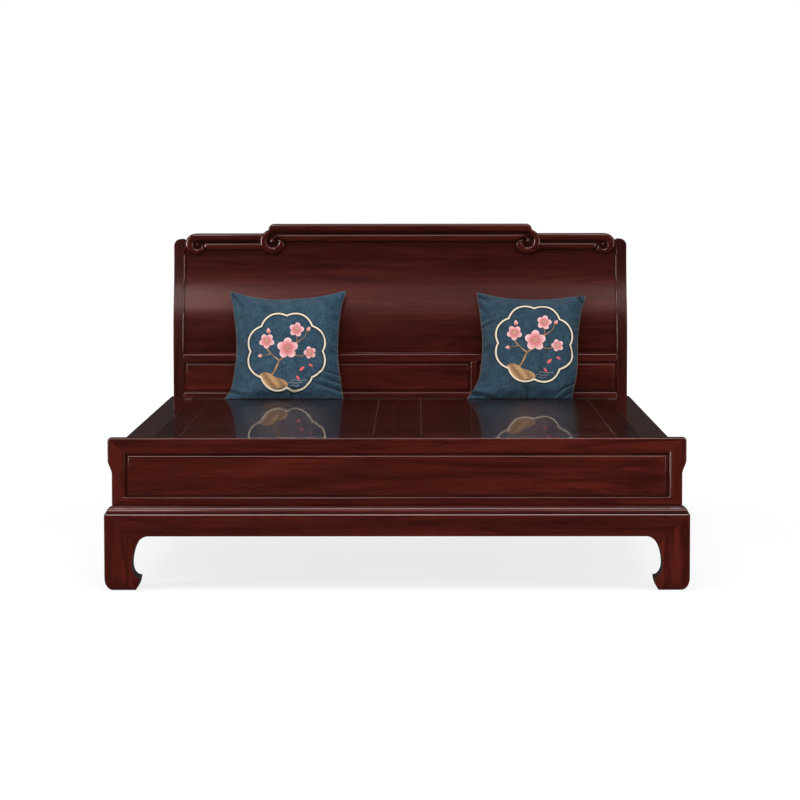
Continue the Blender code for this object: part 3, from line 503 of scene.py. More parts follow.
def fold_and_pull(mesh, setting):
    """Presses in the folds that cross the front, and draws out the corner ears; along each fold's groove it
    also stores a painted shade for the linen's colour.
    """
    points = points_of(mesh)
    front = np.clip(points[:, 2] / FOLD_FRONT, 0, 1)
    shade = np.zeros(len(points))
    spot, span, depth = FOLD_GROOVE
    for start, end, height, width in setting.folds:
        start = np.array(start)
        along = np.array(end) - start
        share = np.clip(((points[:, :2] - start) @ along) / (along @ along), 0, 1)
        away = points[:, :2] - start - share[:, None] * along
        side = np.array((-along[1], along[0])) / np.linalg.norm(along)
        offset = (away @ side) / width
        groove = np.exp(-((offset - spot) / span) ** 2)
        reach = np.linalg.norm(away, axis=1) / width
        near = front * (1 - share) ** FOLD_FADE * np.exp(-(reach / FOLD_REACH) ** 4)
        points[:, 2] += near * height * (np.exp(-(offset - FOLD_RIDGE) ** 2) - depth * groove)
        # Painted shade: how deep each point lies in a fold's groove, stored to darken the cloth there
        shade += near * groove
    for corner, pull, reach in setting.ears:
        tip = np.array((corner[0] * CUSHION_CUT / 2, corner[1] * CUSHION_TALL / 2))
        near = np.exp(-(np.linalg.norm(points[:, :2] - tip, axis=1) / reach) ** 2)
        points += near[:, None] * np.array(pull)
    set_points(mesh, points)
    mesh.attributes.new("crease_shade", "FLOAT", "POINT").data.foreach_set("value", np.clip(shade, 0, 1))


def lean(height):
    """How far the headboard has leaned back at each height: an ogee of two equal arcs."""
    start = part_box("head_mid_rail")[1].z + LEAN_RISE
    half = (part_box("crest_centre")[1].z - LEAN_DROP - start) / 2
    radius = (half ** 2 + (LEAN / 2) ** 2) / LEAN
    from_foot = np.clip(height - start, 0, half)
    from_head = np.clip(start + 2 * half - height, 0, half)
    lower = radius - np.sqrt(radius ** 2 - from_foot ** 2)
    upper = LEAN - radius + np.sqrt(radius ** 2 - from_head ** 2)
    return np.where(height < start + half, lower, upper)


def panel_line(height):
    """Where the face of the headboard's main panel stands at each height."""
    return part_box("head_panel_main")[0].y + lean(height)


def lay_down(points, setting):
    """Leans the cushion, sets it on the deck against the headboard, and flattens it where it rests."""
    turn = Matrix.Rotation(math.radians(setting.roll), 4, "Y")
    turn = turn @ Matrix.Rotation(math.radians(90 - CUSHION_LEAN), 4, "X")
    spun = points @ np.array(turn.to_3x3()).T
    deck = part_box("deck_left_field")[1].z + CUSHION_GAP
    rise = deck - CUSHION_SINK - spun[:, 2].min()
    spun[:, 2] += rise
    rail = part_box("head_mid_rail")[1].z
    upper = spun[:, 2] > rail
    back = (panel_line(spun[upper, 2]) - spun[upper, 1]).min() + CUSHION_SINK - CUSHION_GAP
    place = Matrix.Translation((setting.middle, back, rise)) @ turn
    spun += np.array((setting.middle, back, 0.0))
    spun[:, 2] = np.maximum(spun[:, 2], deck)
    wall = panel_line(spun[:, 2]) - CUSHION_GAP
    spun[:, 1] = np.where(spun[:, 2] > rail, np.minimum(spun[:, 1], wall), spun[:, 1])
    return spun, place


def dress(mesh, made):
    mesh.materials.clear()
    mesh.materials.append(made)
    mesh.shade_smooth()


def new_object(name, mesh, made):
    dress(mesh, made)
    return placed(name, mesh)


def headings(path, closed):
    """The way a path of vectors runs at each of its points."""
    count = len(path)
    runs = []
    for number, point in enumerate(path):
        ahead = path[(number + 1) % count] if closed or number + 1 < count else point
        behind = path[number - 1] if closed or number > 0 else point
        runs.append((ahead - behind).normalized())
    return runs


def quads(first, second, closed=True):
    """Corners of the faces between two rows of points; closed rows run round."""
    count = len(first)
    for step in range(count if closed else count - 1):
        after = (step + 1) % count
        yield first[step], second[step], second[after], first[after]


def skin(shape, rows, ends=True):
    """Faces between closed rows of points and over both ends; gives the first end's face."""
    for first, second in zip(rows, rows[1:]):
        for corners in quads(first, second):
            shape.faces.new(corners)
    if ends:
        shape.faces.new(rows[-1])
        return shape.faces.new(rows[0][::-1])


def tube_mesh(name, path, radius, sides, closed):
    """A round tube along a path of points."""
    path = [Vector(point) for point in path]
    shape = bmesh.new()
    rings = []
    normal = None
    for point, along in zip(path, headings(path, closed)):
        if normal is None:
            normal = along.orthogonal()
        normal = (normal - along * normal.dot(along)).normalized()
        across = along.cross(normal)
        ring = []
        for angle in (2 * math.pi * side / sides for side in range(sides)):
            out = math.cos(angle) * normal + math.sin(angle) * across
            ring.append(shape.verts.new(point + radius * out))
        rings.append(ring)
    if closed:
        first = rings[0]
        turn = min(range(sides), key=lambda t: (first[t].co - rings[-1][0].co).length)
        rings.append(first[turn:] + first[:turn])
    skin(shape, rings, ends=not closed)
    bmesh.ops.recalc_face_normals(shape, faces=shape.faces)
    return mesh_of(shape, name)


def make_cushion(setting, cord, thread):
    name = f"cushion_{setting.side}"
    cloth = linen_material("slub_linen_" + setting.side, setting.shade)
    mesh, rim = pillow_mesh(name + "_cover", setting.size)
    cover = placed(name + "_cover", mesh)
    inflate(cover, rim, setting.seed)
    mesh = cover.data
    fold_and_pull(mesh, setting)
    laid, place = lay_down(points_of(mesh), setting)
    back = np.array(place.inverted())
    set_points(mesh, laid @ back[:3, :3].T + back[:3, 3])
    dress(mesh, cloth)
    surface = BVHTree.FromPolygons(points_of(mesh).tolist(), [list(face.vertices) for face in mesh.polygons])
    path = [mesh.vertices[number].co.copy() for number in rim]
    piping = new_object(name + "_piping", tube_mesh(name + "_piping", path, PIPING_R, 8, True), cord)
    picture = embroidery_mesh(name + "_embroidery", surface, setting.centre)
    motif = new_object(name + "_embroidery", picture, thread)
    for piece in (cover, piping, motif):
        piece.matrix_world = place
        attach(piece, name)
    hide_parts(name)


# Linen tones from dark to light yarn, the yarns' stretch along both ways, and the tint of the painted shade
# in the folds' creases
LINEN_TONES = ((0.0045, 0.0185, 0.035), (0.0175, 0.0545, 0.09), (0.054, 0.125, 0.178))
YARN_STRETCHES = ((1.0, 0.1, 0.5), (0.1, 1.0, 0.5))
CREASE_SHADE_TINT = (0.22, 0.25, 0.28, 1.0)

# Embroidery threads
CREAM = (0.74, 0.64, 0.5)
GOLD = (0.47, 0.27, 0.12)
BARK = (0.24, 0.13, 0.065)
PALE_PINK = (0.9, 0.62, 0.6)
DEEP_PINK = (0.56, 0.08, 0.11)
CORAL = (0.72, 0.13, 0.12)
MIST = (0.36, 0.37, 0.37)
INK = (0.006, 0.012, 0.018)

# Stitched bands and patches: their rise, how far apart their threads lie, a band's section, and the stamens
RIBBON_RISE = 0.0011
RIBBON_PITCH = 0.0011
RIBBON_PROFILE = ((-0.5, 0.0), (-0.32, 0.75), (0.0, 1.0), (0.32, 0.75), (0.5, 0.0))
PATCH_RISE = 0.0014
PATCH_PITCH = 0.0009
STAMEN_WIDTH = 0.0013
STAMEN_TIP = 0.0017

# The gap under the stitches, the heights at which their layers start, how far the dark edging rises, and how
# far a flower's parts lie above its own start
STITCH_GAP = 0.0005
EDGING_BASE = 0.0002
EDGING_RISE = 0.0003
BORDER_BASE = 0.0008
BANK_BASE = 0.0004
PETAL_BASE = 0.0006
RIPPLE_BASE = 0.0009
BRANCH_BASE = 0.0012
FLOWER_BASE = 0.0022
CUP_LIFT = 0.0006
STAMEN_LIFT = 0.0022
HEART_LIFT = 0.0024

# A plum sprig round the border's centre: a bank's outline and middle, branches as (points, both end widths),
# flowers, buds and loose petals as (centre, size, turn), ripples as (start, length, height)
BANK = ((-0.118, -0.1), (-0.095, -0.084), (-0.07, -0.089), (-0.048, -0.103), (-0.02, -0.112), (0.004, -0.128),
        (0.0, -0.143), (-0.026, -0.146), (-0.052, -0.15), (-0.078, -0.146), (-0.1, -0.128))
BANK_MIDDLE = (-0.06, -0.118)
BRANCHES = (
    (((-0.072, -0.11), (-0.048, -0.08), (-0.028, -0.04), (0.012, -0.01), (0.04, 0.03), (0.038, 0.082)),
     0.0085, 0.0032),
    (((-0.028, -0.04), (-0.062, -0.012), (-0.086, 0.022), (-0.082, 0.058)), 0.0055, 0.0024),
    (((0.012, -0.01), (0.056, -0.022), (0.098, -0.006)), 0.0048, 0.0022),
    (((-0.062, -0.012), (-0.094, -0.018)), 0.0034, 0.0022),
    (((0.04, 0.03), (0.072, 0.056), (0.082, 0.078)), 0.0036, 0.002),
)
BLOSSOMS = (((0.004, 0.01), 0.043, 0.3), ((-0.08, 0.04), 0.031, 0.9), ((0.04, 0.086), 0.03, 0.1),
            ((0.094, -0.008), 0.025, 0.6))
BUDS = (((0.088, 0.088), 0.0105, 1.0), ((-0.074, 0.082), 0.0115, 1.7), ((-0.106, -0.019), 0.01, 3.2))
PETALS = (((0.062, -0.072), 0.0125, 0.7), ((0.098, -0.058), 0.0095, -0.4), ((0.046, -0.108), 0.0105, 2.3))
RIPPLES = ((0.02, 0.06, -0.118), (0.008, 0.054, -0.128), (0.02, 0.032, -0.138))
RIPPLE_WIDTH = 0.0016


def blended(first, second, share):
    return tuple(a + (b - a) * share for a, b in zip(first, second))


class Stitches:
    """Stitched shapes in the cushion's own plane: points with height, colour and place along the thread."""

    def __init__(self):
        self.points = []
        self.faces = []
        self.colours = []
        self.runs = []

    def put(self, spot, height, colour, run):
        self.points.append((*spot, height))
        self.colours.append(colour)
        self.runs.append(run)
        return len(self.points) - 1

    def ribbon(self, path, widths, colours, base, closed=False, rise=RIBBON_RISE):
        """A raised band along a path, with stitches laid square across it."""
        path = [Vector(point) for point in path]
        rows = []
        length = 0.0
        for number, along in enumerate(headings(path, closed)):
            side = Vector((-along.y, along.x))
            if number:
                length += (path[number] - path[number - 1]).length
            row = []
            for offset, height in RIBBON_PROFILE:
                spot = path[number] + side * widths[number] * offset
                row.append(self.put(spot, base + rise * height, colours[number], length / RIBBON_PITCH))
            rows.append(row)
        for first, second in zip(rows, rows[1:] + (rows[:1] if closed else [])):
            self.faces += quads(first, second, closed=False)

    def line(self, path, width, colour, base, **more):
        self.ribbon(path, [width] * len(path), [colour] * len(path), base, **more)

    def patch(self, outline, centre, tint, axis, base, rings=4):
        """A padded satin-stitch shape; tint is its colour or gives it at a point; threads run along axis."""
        colour = tint if callable(tint) else lambda spot: tint
        across = Vector((-axis[1], axis[0])).normalized()
        centre = Vector(centre)
        middle = self.put(centre, base + PATCH_RISE, colour(centre), across.dot(centre) / PATCH_PITCH)
        for ring in range(1, rings + 1):
            share = ring / rings
            height = base + PATCH_RISE * (1 - share ** 3)
            spots = [centre + (Vector(edge) - centre) * share for edge in outline]
            row = [self.put(spot, height, colour(spot), across.dot(spot) / PATCH_PITCH) for spot in spots]
            if ring == 1:
                self.faces += [(middle, *edge) for edge in zip(row, row[1:] + row[:1])]
            else:
                self.faces += quads(last, row)
            last = row


def polar(angle, reach, centre=(0.0, 0.0)):
    return centre[0] + reach * math.cos(angle), centre[1] + reach * math.sin(angle)


def oval(centre, long, wide, turn, steps=16, point=0.0):
    """An oval outline; point draws its far end out to a tip."""
    outline = []
    for step in range(steps):
        angle = 2 * math.pi * step / steps
        along = long * math.cos(angle)
        across = wide * math.sin(angle) * (1 - point * max(math.cos(angle), 0))
        outline.append((centre[0] + along * math.cos(turn) - across * math.sin(turn),
                        centre[1] + along * math.sin(turn) + across * math.cos(turn)))
    return outline


def smooth_path(points, steps):
    """A smooth path through points."""
    points = [Vector(point) for point in points]
    ends = [points[0] * 2 - points[1]] + points + [points[-1] * 2 - points[-2]]
    path = []
    for number in range(1, len(ends) - 2):
        before, start, end, after = ends[number - 1:number + 3]
        bend = 2 * before - 5 * start + 4 * end - after
        twist = 3 * start - before - 3 * end + after
        for step in range(steps):
            t = step / steps
            path.append(0.5 * (2 * start + (end - before) * t + bend * t ** 2 + twist * t ** 3))
    path.append(points[-1])
    return [tuple(point) for point in path]


def border_reach(angle):
    """How far the lobed border lies from its centre."""
    lobe = abs(math.sin(4 * angle)) ** 0.9
    return CARTOUCHE_R + CARTOUCHE_WAVE * (2 * lobe - 1)


def cartouche():
    return [polar(angle, border_reach(angle)) for angle in np.radians(range(360)).tolist()]


def inside(spot):
    """A spot drawn in until it lies within the border."""
    angle = math.atan2(spot[1], spot[0])
    return polar(angle, min(math.hypot(*spot), border_reach(angle) - CARTOUCHE_WIDTH * 0.3))


def blossom(work, centre, radius, turn, base):
    """Five round petals, paler towards their rims, with a gold heart and stamens."""
    middle = Vector(centre)

    def tint(spot):
        share = min((spot - middle).length / radius, 1.0)
        return blended(DEEP_PINK, PALE_PINK, share ** 1.9)

    for petal in range(5):
        angle = turn + 2 * math.pi * petal / 5
        heart = polar(angle, 0.56 * radius, centre)
        outline = oval(heart, 0.44 * radius, 0.4 * radius, angle)
        work.patch(outline, heart, tint, polar(angle, 1.0), base + 0.0002 * petal)
    for stamen in range(10):
        angle = turn + 0.3 + 2 * math.pi * stamen / 10
        reach = radius * (0.36 if stamen % 2 else 0.3)
        line = [polar(angle, share * reach, centre) for share in (0.25, 0.5, 0.75, 1.0)]
        work.line(line, STAMEN_WIDTH, CREAM, base + STAMEN_LIFT)
        tip = oval(line[-1], STAMEN_TIP, STAMEN_TIP, 0.0, 8)
        work.patch(tip, line[-1], GOLD, (1, 0), base + HEART_LIFT, 1)
    heart = oval(centre, 0.15 * radius, 0.15 * radius, 0.0, 10)
    work.patch(heart, centre, GOLD, (1, 0), base + HEART_LIFT, 2)


def bud(work, centre, size, turn, base):
    axis = polar(turn, 1.0)
    foot = Vector(polar(turn, -size, centre))

    def tint(spot):
        return blended(CORAL, PALE_PINK, min((spot - foot).length / (2 * size), 1.0) ** 1.5)

    work.patch(oval(centre, size, 0.72 * size, turn, 14, 0.45), centre, tint, axis, base)
    cup = polar(turn, -0.75 * size, centre)
    work.patch(oval(cup, 0.42 * size, 0.46 * size, turn, 10), cup, BARK, axis, base + CUP_LIFT, 2)


def branch(work, points, thick, thin, base):
    path = smooth_path(points, 10)
    count = len(path)
    widths = [thick + (thin - thick) * number / (count - 1) for number in range(count)]
    colours = [blended(BARK, GOLD, 0.5 + 0.5 * math.sin(number * 0.55)) for number in range(count)]
    work.ribbon(path, widths, colours, base)


def sprig(work):
    """A plum branch rising from a low bank on the left, with open flowers, buds and a few loose petals."""
    outline = [inside(spot) for spot in smooth_path(BANK + BANK[:1], 6)[:-1]]

    def streaks(spot):
        return blended(GOLD, BARK, 0.5 + 0.5 * math.sin(150 * spot.x + 110 * spot.y))

    work.patch(outline, BANK_MIDDLE, streaks, (0.9, -0.4), BANK_BASE, 8)
    for points, thick, thin in BRANCHES:
        branch(work, points, thick, thin, BRANCH_BASE)
    for flower in BLOSSOMS:
        blossom(work, *flower, FLOWER_BASE)
    for closed in BUDS:
        bud(work, *closed, FLOWER_BASE)
    for place, size, turn in PETALS:
        work.patch(oval(place, size, 0.45 * size, turn, 14, 0.3), place, CORAL, polar(turn, 1.0), PETAL_BASE)
    for start, length, height in RIPPLES:
        shares = np.linspace(0, 1, 14)
        line = [(start + length * share, height + 0.0016 * math.sin(9 * share)) for share in shares]
        work.line(line, RIPPLE_WIDTH, MIST, RIPPLE_BASE)


def embroidery_mesh(name, surface, centre):
    """The stitched picture and its lobed border, laid on the cushion's front."""
    work = Stitches()
    border = cartouche()
    work.line(border, EDGING_WIDTH, INK, EDGING_BASE, closed=True, rise=EDGING_RISE)
    work.line(border, CARTOUCHE_WIDTH, CREAM, BORDER_BASE, closed=True)
    sprig(work)
    spots = []
    for across, up, height in work.points:
        above = Vector((across + centre[0], PICTURE_STRETCH * up + centre[1], 0.5))
        hit, normal, _, _ = surface.ray_cast(above, Vector((0, 0, -1)))
        if hit is None:
            hit, normal, _, _ = surface.find_nearest(Vector((above.x, above.y, 0.0)))
        spots.append(hit + normal * (height + STITCH_GAP))
    mesh = bpy.data.meshes.new(name)
    mesh.from_pydata(spots, [], work.faces)
    colours = [channel for colour in work.colours for channel in (*colour, 1.0)]
    mesh.attributes.new("thread", "FLOAT_COLOR", "POINT").data.foreach_set("color", colours)
    mesh.attributes.new("run", "FLOAT", "POINT").data.foreach_set("value", work.runs)
    return mesh


def thread_material():
    made, tree, shader = new_material("embroidery_thread")
    wave = math_node(tree, "SINE", math_node(tree, "MULTIPLY", attribute(tree, "run")["Fac"], 2 * math.pi))
    # Painted shade: the thread's colour darkens a little between stitches, along the same wave as the bump
    tinted = multiplied(tree, attribute(tree, "thread")["Color"], 1.0, spread(tree, wave, 0.86, 1.0))
    feed(shader, {"Base Color": tinted, "Roughness": 0.62, "Specular IOR Level": 0.1, "Sheen Weight": 0.03})
    bump(tree, shader, wave, 0.35, 0.0004)
    return made


def linen_material(name, shade):
    """Slub linen in slate blue: crossing yarns with thick and thin places, and a soft bloom."""
    made, tree, shader = new_material(name)
    yarns = [noise(tree, scaled(tree, stretch), 520.0, 4.0, 0.66, 0.15) for stretch in YARN_STRETCHES]
    weave = math_node(tree, "MULTIPLY", math_node(tree, "ADD", *yarns), 0.5)
    cloud = noise(tree, object_place(tree), 22.0, 4.0, 0.6, 0.3)
    # The cushion's shade scales the cloth's brightness; the right cushion's lower value is painted shade
    tones = [[shade * part for part in tone] for tone in LINEN_TONES]
    colour = ramp(tree, weighted(tree, weave, cloud, 0.8), zip((0.39, 0.5, 0.62), tones))
    # Painted shade: the cloth darkens along the folds' grooves
    crease_shaded = multiplied(tree, colour, attribute(tree, "crease_shade")["Fac"], CREASE_SHADE_TINT)
    feed(shader, {"Base Color": crease_shaded, "Roughness": spread(tree, weave, 0.8, 0.95),
                  "Specular IOR Level": 0.2, "Sheen Weight": 0.1, "Sheen Roughness": 0.5})
    bump(tree, shader, weave, 0.45, 0.0012)
    return made


def piping_material():
    made, tree, shader = new_material("piping_cord")
    twist = noise(tree, object_place(tree), 420.0, 3.0, 0.6, 0.6)
    colour = ramp(tree, twist, [(0.35, (0.05, 0.026, 0.02)), (0.65, (0.17, 0.09, 0.062))])
    feed(shader, {"Base Color": colour, "Roughness": 0.75})
    bump(tree, shader, twist, 0.4, 0.0008)
    return made


def make_cushions():
    cord = piping_material()
    thread = thread_material()
    for setting in SETTINGS:
        make_cushion(setting, cord, thread)


# Beads: how far they lie outside an opening, their corner's turn, radii and how far they sink in; up the
# posts, their places at both ends and the height over which they come out of the wood
BEAD_OUT = 0.0045
BEAD_TURN = 0.005
FOOT_BEAD = 0.003
FINE_BEAD = 0.0028
POST_BEAD = 0.0032
BEAD_SUNK = 0.0031
POST_BEAD_X = (0.8895, 0.8858)
POST_BEAD_FADE = 0.16

# The tongue in the deck's seam, dark as painted shade: its share of the gap's width, how deep its middle lies
# and how tall it is
SEAM_SHARE = 0.8
SEAM_DEPTH = 0.012
SEAM_TALL = 0.014

# Carved crests: their relief over the board, how far bands sink into it, how square their section is and from
# which angle edges are sharp; the bead's relief and tail, the height left at a band's end, and how far the
# filler stays below the posts' tops
CREST_RELIEF = 0.011
CREST_SINK = 0.001
CREST_ROUND = 3.2
CREST_SHARP = math.radians(40)
BEAD_RELIEF = 0.01
BEAD_TAIL = 16
BAND_END = 0.004
POST_TOP_DROP = 0.004
ACROSS = -np.cos(np.linspace(0.0, math.pi, 15))

# Sizes of the crests: the scroll's radius, the roll along the top and the rail's height; the large one's lobe
# and how far in it stands; the gap between the side crests and the large scroll's rim
LARGE_RADIUS, LARGE_ROLL, LARGE_RAIL = 0.052, 0.033, 0.073
SMALL_RADIUS, SMALL_ROLL, SMALL_RAIL = 0.043, 0.03, 0.0665
LOBE, LOBE_IN = 0.0228, 0.0065
RIM_GAP = 0.0003

# Heights are measured from the scroll's centre, angles from straight outwards, with the top at 90 degrees.
# A scroll's turn gives (angle, inner edge); its tongue then curls over the eye as (angle, outer, inner edge)
# and runs out over the tail's places. A bead has pairs of edge points, an eye its (centre, radius).
Carving = namedtuple("Carving", "turn tongue tail bead eye")
LARGE = Carving(
    turn=((95, 0.0415), (90, 0.04), (45, 0.0285), (0, 0.0228), (-90, 0.0218), (-160, 0.0228)),
    tongue=((-172, 0.049, 0.0242), (-182, 0.041, 0.0238), (-191, 0.0335, 0.023), (-199, 0.0268, 0.0218),
            (-206, 0.0218, 0.0205)),
    tail=14,
    bead=(((-0.052, 0.03), (-0.052, 0.001)), ((-0.042, 0.03), (-0.042, 0.006)),
          ((-0.032, 0.03), (-0.032, 0.0135)), ((-0.021, 0.029), (-0.0205, 0.019)),
          ((-0.0115, 0.025), (-0.01, 0.017)), ((-0.003, 0.0175), (-0.0022, 0.01)),
          ((0.0042, 0.0088), (0.003, 0.0028)), ((0.0078, 0.0012), (0.0048, -0.002))),
    eye=((0.001, 0.0045), 0.0088),
)
SMALL = Carving(
    turn=((90, 0.0125), (45, 0.009), (0, 0.0082), (-45, 0.0125), (-90, 0.02), (-140, 0.024)),
    tongue=((-152, 0.0375, 0.0245), (-162, 0.032, 0.0242), (-172, 0.0272, 0.024)),
    tail=12,
    bead=(((-0.047, 0.003), (-0.047, -0.0235)), ((-0.042, 0.0029), (-0.042, -0.0205)),
          ((-0.038, 0.0022), (-0.038, -0.016)), ((-0.035, 0.0), (-0.035, -0.011)),
          ((-0.0338, -0.003), (-0.0338, -0.007))),
    eye=((-0.007, -0.0015), 0.0062),
)


class Crest:
    """One crest: its carving, scroll, roll along the top, foot and the lobe that stands on the scroll."""

    def __init__(self, carving, radius, top, roll, rail, lobe=0.0, lobe_in=0.0):
        self.carving = carving
        self.radius = radius
        self.top = top
        self.roll = roll
        self.foot = top - rail
        self.lobe = lobe
        self.lobe_centre = Vector((-lobe_in, top - lobe))
        self.meet = 180 - math.degrees(math.asin(self.foot / radius))

    def rim(self, angle):
        """How far the outline lies from the scroll's centre; a lobe stands on top of the large scroll."""
        along = self.lobe_centre.dot(Vector(polar(angle, 1.0)))
        inside_lobe = along ** 2 - self.lobe_centre.length_squared + self.lobe ** 2
        if self.lobe and inside_lobe > 0 and along > 0:
            return max(self.radius, along + math.sqrt(inside_lobe))
        return self.radius


def scroll_run(crest):
    """Edge pairs of the roll where it goes round the scroll and curls over the eye."""
    places, inners = zip(*crest.carving.turn[::-1])
    last = places[0]
    angles = [95, 91, 87, 83, 79, 75, 71, 67, 63, 60, 55] if crest.lobe else [90, 75, 60]
    angles += [angle for angle in range(45, -181, -15) if angle > last] + [last]
    rows = [(angle, crest.rim(math.radians(angle)), np.interp(angle, places, inners)) for angle in angles]
    pairs = []
    for angle, *edges in (*rows, *crest.carving.tongue):
        pairs.append(tuple(polar(math.radians(angle), edge) for edge in edges))
    return pairs


def smooth_pairs(pairs, steps):
    """Both edges of a band made smooth, as pairs again."""
    return list(zip(*(smooth_path(edge, steps) for edge in zip(*pairs))))


def carve(shape, pairs, heights, place, face):
    """A raised band between two edges: round across, flat behind, closed at both ends."""
    rows = []
    back = face + CREST_RELIEF
    for (outer, inner), height in zip(pairs, heights):
        row = []
        for share in ACROSS:
            rise = height * max(1 - abs(share) ** CREST_ROUND, 0.0) ** (1 / CREST_ROUND)
            spot = blended(outer, inner, (share + 1) / 2)
            row.append(shape.verts.new(place(*spot, back + CREST_SINK - rise)))
        rows.append(row)
    skin(shape, rows)


def plate(shape, outline, place, front, back, wood=1):
    """A flat board with an outline in (across, up); its front is the dark ground, painted shade of the
    grooves, unless another wood is given.
    """
    rows = [[shape.verts.new(place(*spot, depth)) for spot in outline] for depth in (front, back)]
    skin(shape, rows).material_index = wood


def boss(shape, centre, radius, height, place, face):
    """A small round knob."""
    angles = np.radians(np.linspace(170, 10, 9))
    spans = [(centre[0] + radius * math.cos(angle), radius * math.sin(angle)) for angle in angles]
    pairs = [((across, centre[1] + half), (across, centre[1] - half)) for across, half in spans]
    carve(shape, pairs, [height * half / radius for _, half in spans], place, face)


def tapered(count, height, tail):
    """Heights along a band, running out over the last tail places."""
    places = np.arange(count)
    return height + (BAND_END - height) * np.clip((places - (count - 1 - tail)) / tail, 0, 1) ** 2


def arc_points(centre, radius, start, end, steps):
    """Points on an arc between two angles in degrees."""
    return [polar(angle, radius, centre) for angle in np.radians(np.linspace(start, end, steps + 1))]


def carve_bands(shape, crest, near, place, face):
    """A crest's roll and bead, from where near starts them to the scroll, and the knob in its eye."""
    curl = smooth_pairs(scroll_run(crest), 4)
    bead = smooth_pairs(crest.carving.bead, 4)
    roll = (crest.top, crest.top - crest.roll)
    for run, edges, height, tail in ((curl, roll, CREST_RELIEF + CREST_SINK, crest.carving.tail),
                                     (bead, (bead[0][0][1], bead[0][1][1]), BEAD_RELIEF, BEAD_TAIL)):
        start = tuple((near(edge), edge) for edge in edges)
        carve(shape, [start] + run, tapered(len(run) + 1, height, tail), place, face)
    boss(shape, *crest.carving.eye, CREST_RELIEF, place, face)


def crest_object(name, shape, wood, ground):
    bmesh.ops.recalc_face_normals(shape, faces=shape.faces)
    woods = [face.material_index for face in shape.faces]
    mesh = mesh_of(shape, name + "_carved")
    obj = new_object(name + "_carved", mesh, wood)
    mesh.materials.append(ground)
    mesh.polygons.foreach_set("material_index", woods)
    mesh.set_sharp_from_angle(angle=CREST_SHARP)
    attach(obj, "bed_frame")
    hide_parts(name)


def make_centre_crest(wood, ground):
    """The centre crest with a scroll at both ends; gives the right scroll's centre."""
    low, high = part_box("crest_centre")
    middle = (high.x - LARGE_RADIUS, low.z + LARGE_RADIUS)
    crest = Crest(LARGE, LARGE_RADIUS, high.z - middle[1], LARGE_ROLL, LARGE_RAIL, LOBE, LOBE_IN)
    shape = bmesh.new()

    def place(across, up, depth, side=1):
        return side * (middle[0] + across), depth, middle[1] + up

    for side in (-1, 1):
        carve_bands(shape, crest, lambda up: -middle[0], partial(place, side=side), low.y)
    angles = np.radians(np.linspace(crest.meet - 360, 95, 110))
    half = [(-middle[0], crest.foot)] + [polar(angle, crest.rim(angle)) for angle in angles]
    outline = half + [(-2 * middle[0] - across, up) for across, up in half[:0:-1]]
    plate(shape, outline, place, low.y + CREST_RELIEF, high.y)
    crest_object("crest_centre", shape, wood, ground)
    return middle


def make_side_crest(side, name, wood, ground, neighbour):
    """A side crest; its roll and bead start on the large scroll's rim and end in the small scroll."""
    low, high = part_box("crest_right")
    middle = (high.x - SMALL_RADIUS, high.z - SMALL_RADIUS)
    crest = Crest(SMALL, SMALL_RADIUS, SMALL_RADIUS, SMALL_ROLL, SMALL_RAIL)
    shape = bmesh.new()

    def place(across, up, depth):
        return side * (middle[0] + across), depth, middle[1] + up

    def on_rim(up):
        """Where a height meets the large scroll's rim."""
        rise = middle[1] + up - neighbour[1]
        return neighbour[0] - middle[0] + math.sqrt(LARGE_RADIUS ** 2 - rise ** 2) + RIM_GAP

    carve_bands(shape, crest, on_rim, place, low.y)
    outline = arc_points((0, 0), SMALL_RADIUS, crest.meet, 450, 50)
    outline += [(on_rim(up), up) for up in np.linspace(crest.top, crest.foot, 12)]
    plate(shape, outline, place, low.y + CREST_RELIEF, high.y)
    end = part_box("head_panel_main")[1].x - middle[0]
    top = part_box("head_post_right")[1].z - POST_TOP_DROP - middle[1]
    filler = [(0.0, crest.foot), (end, crest.foot), (end, top), (0.0, top)]
    plate(shape, filler, place, low.y + CREST_RELIEF + CREST_SINK, high.y - 2 * CREST_SINK, wood=0)
    crest_object(name, shape, wood, ground)


def make_crests():
    wood = lacquered_wood("wood_crest", "head", "X", (2.1, 0.7, 1.3))
    # The ground between the carved bands is dark wood, painted shade of the deep grooves
    ground = lacquered_wood("wood_crest_ground_shade", "groove", "X", (1.3, 2.7, 0.4))
    middle = make_centre_crest(wood, ground)
    make_side_crest(-1, "crest_left", wood, ground, middle)
    make_side_crest(1, "crest_right", wood, ground, middle)


def bead(name, path, radius, wood, closed=False):
    made = new_object(name, tube_mesh(name, path, radius, 10, closed), wood)
    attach(made, "bed_frame")


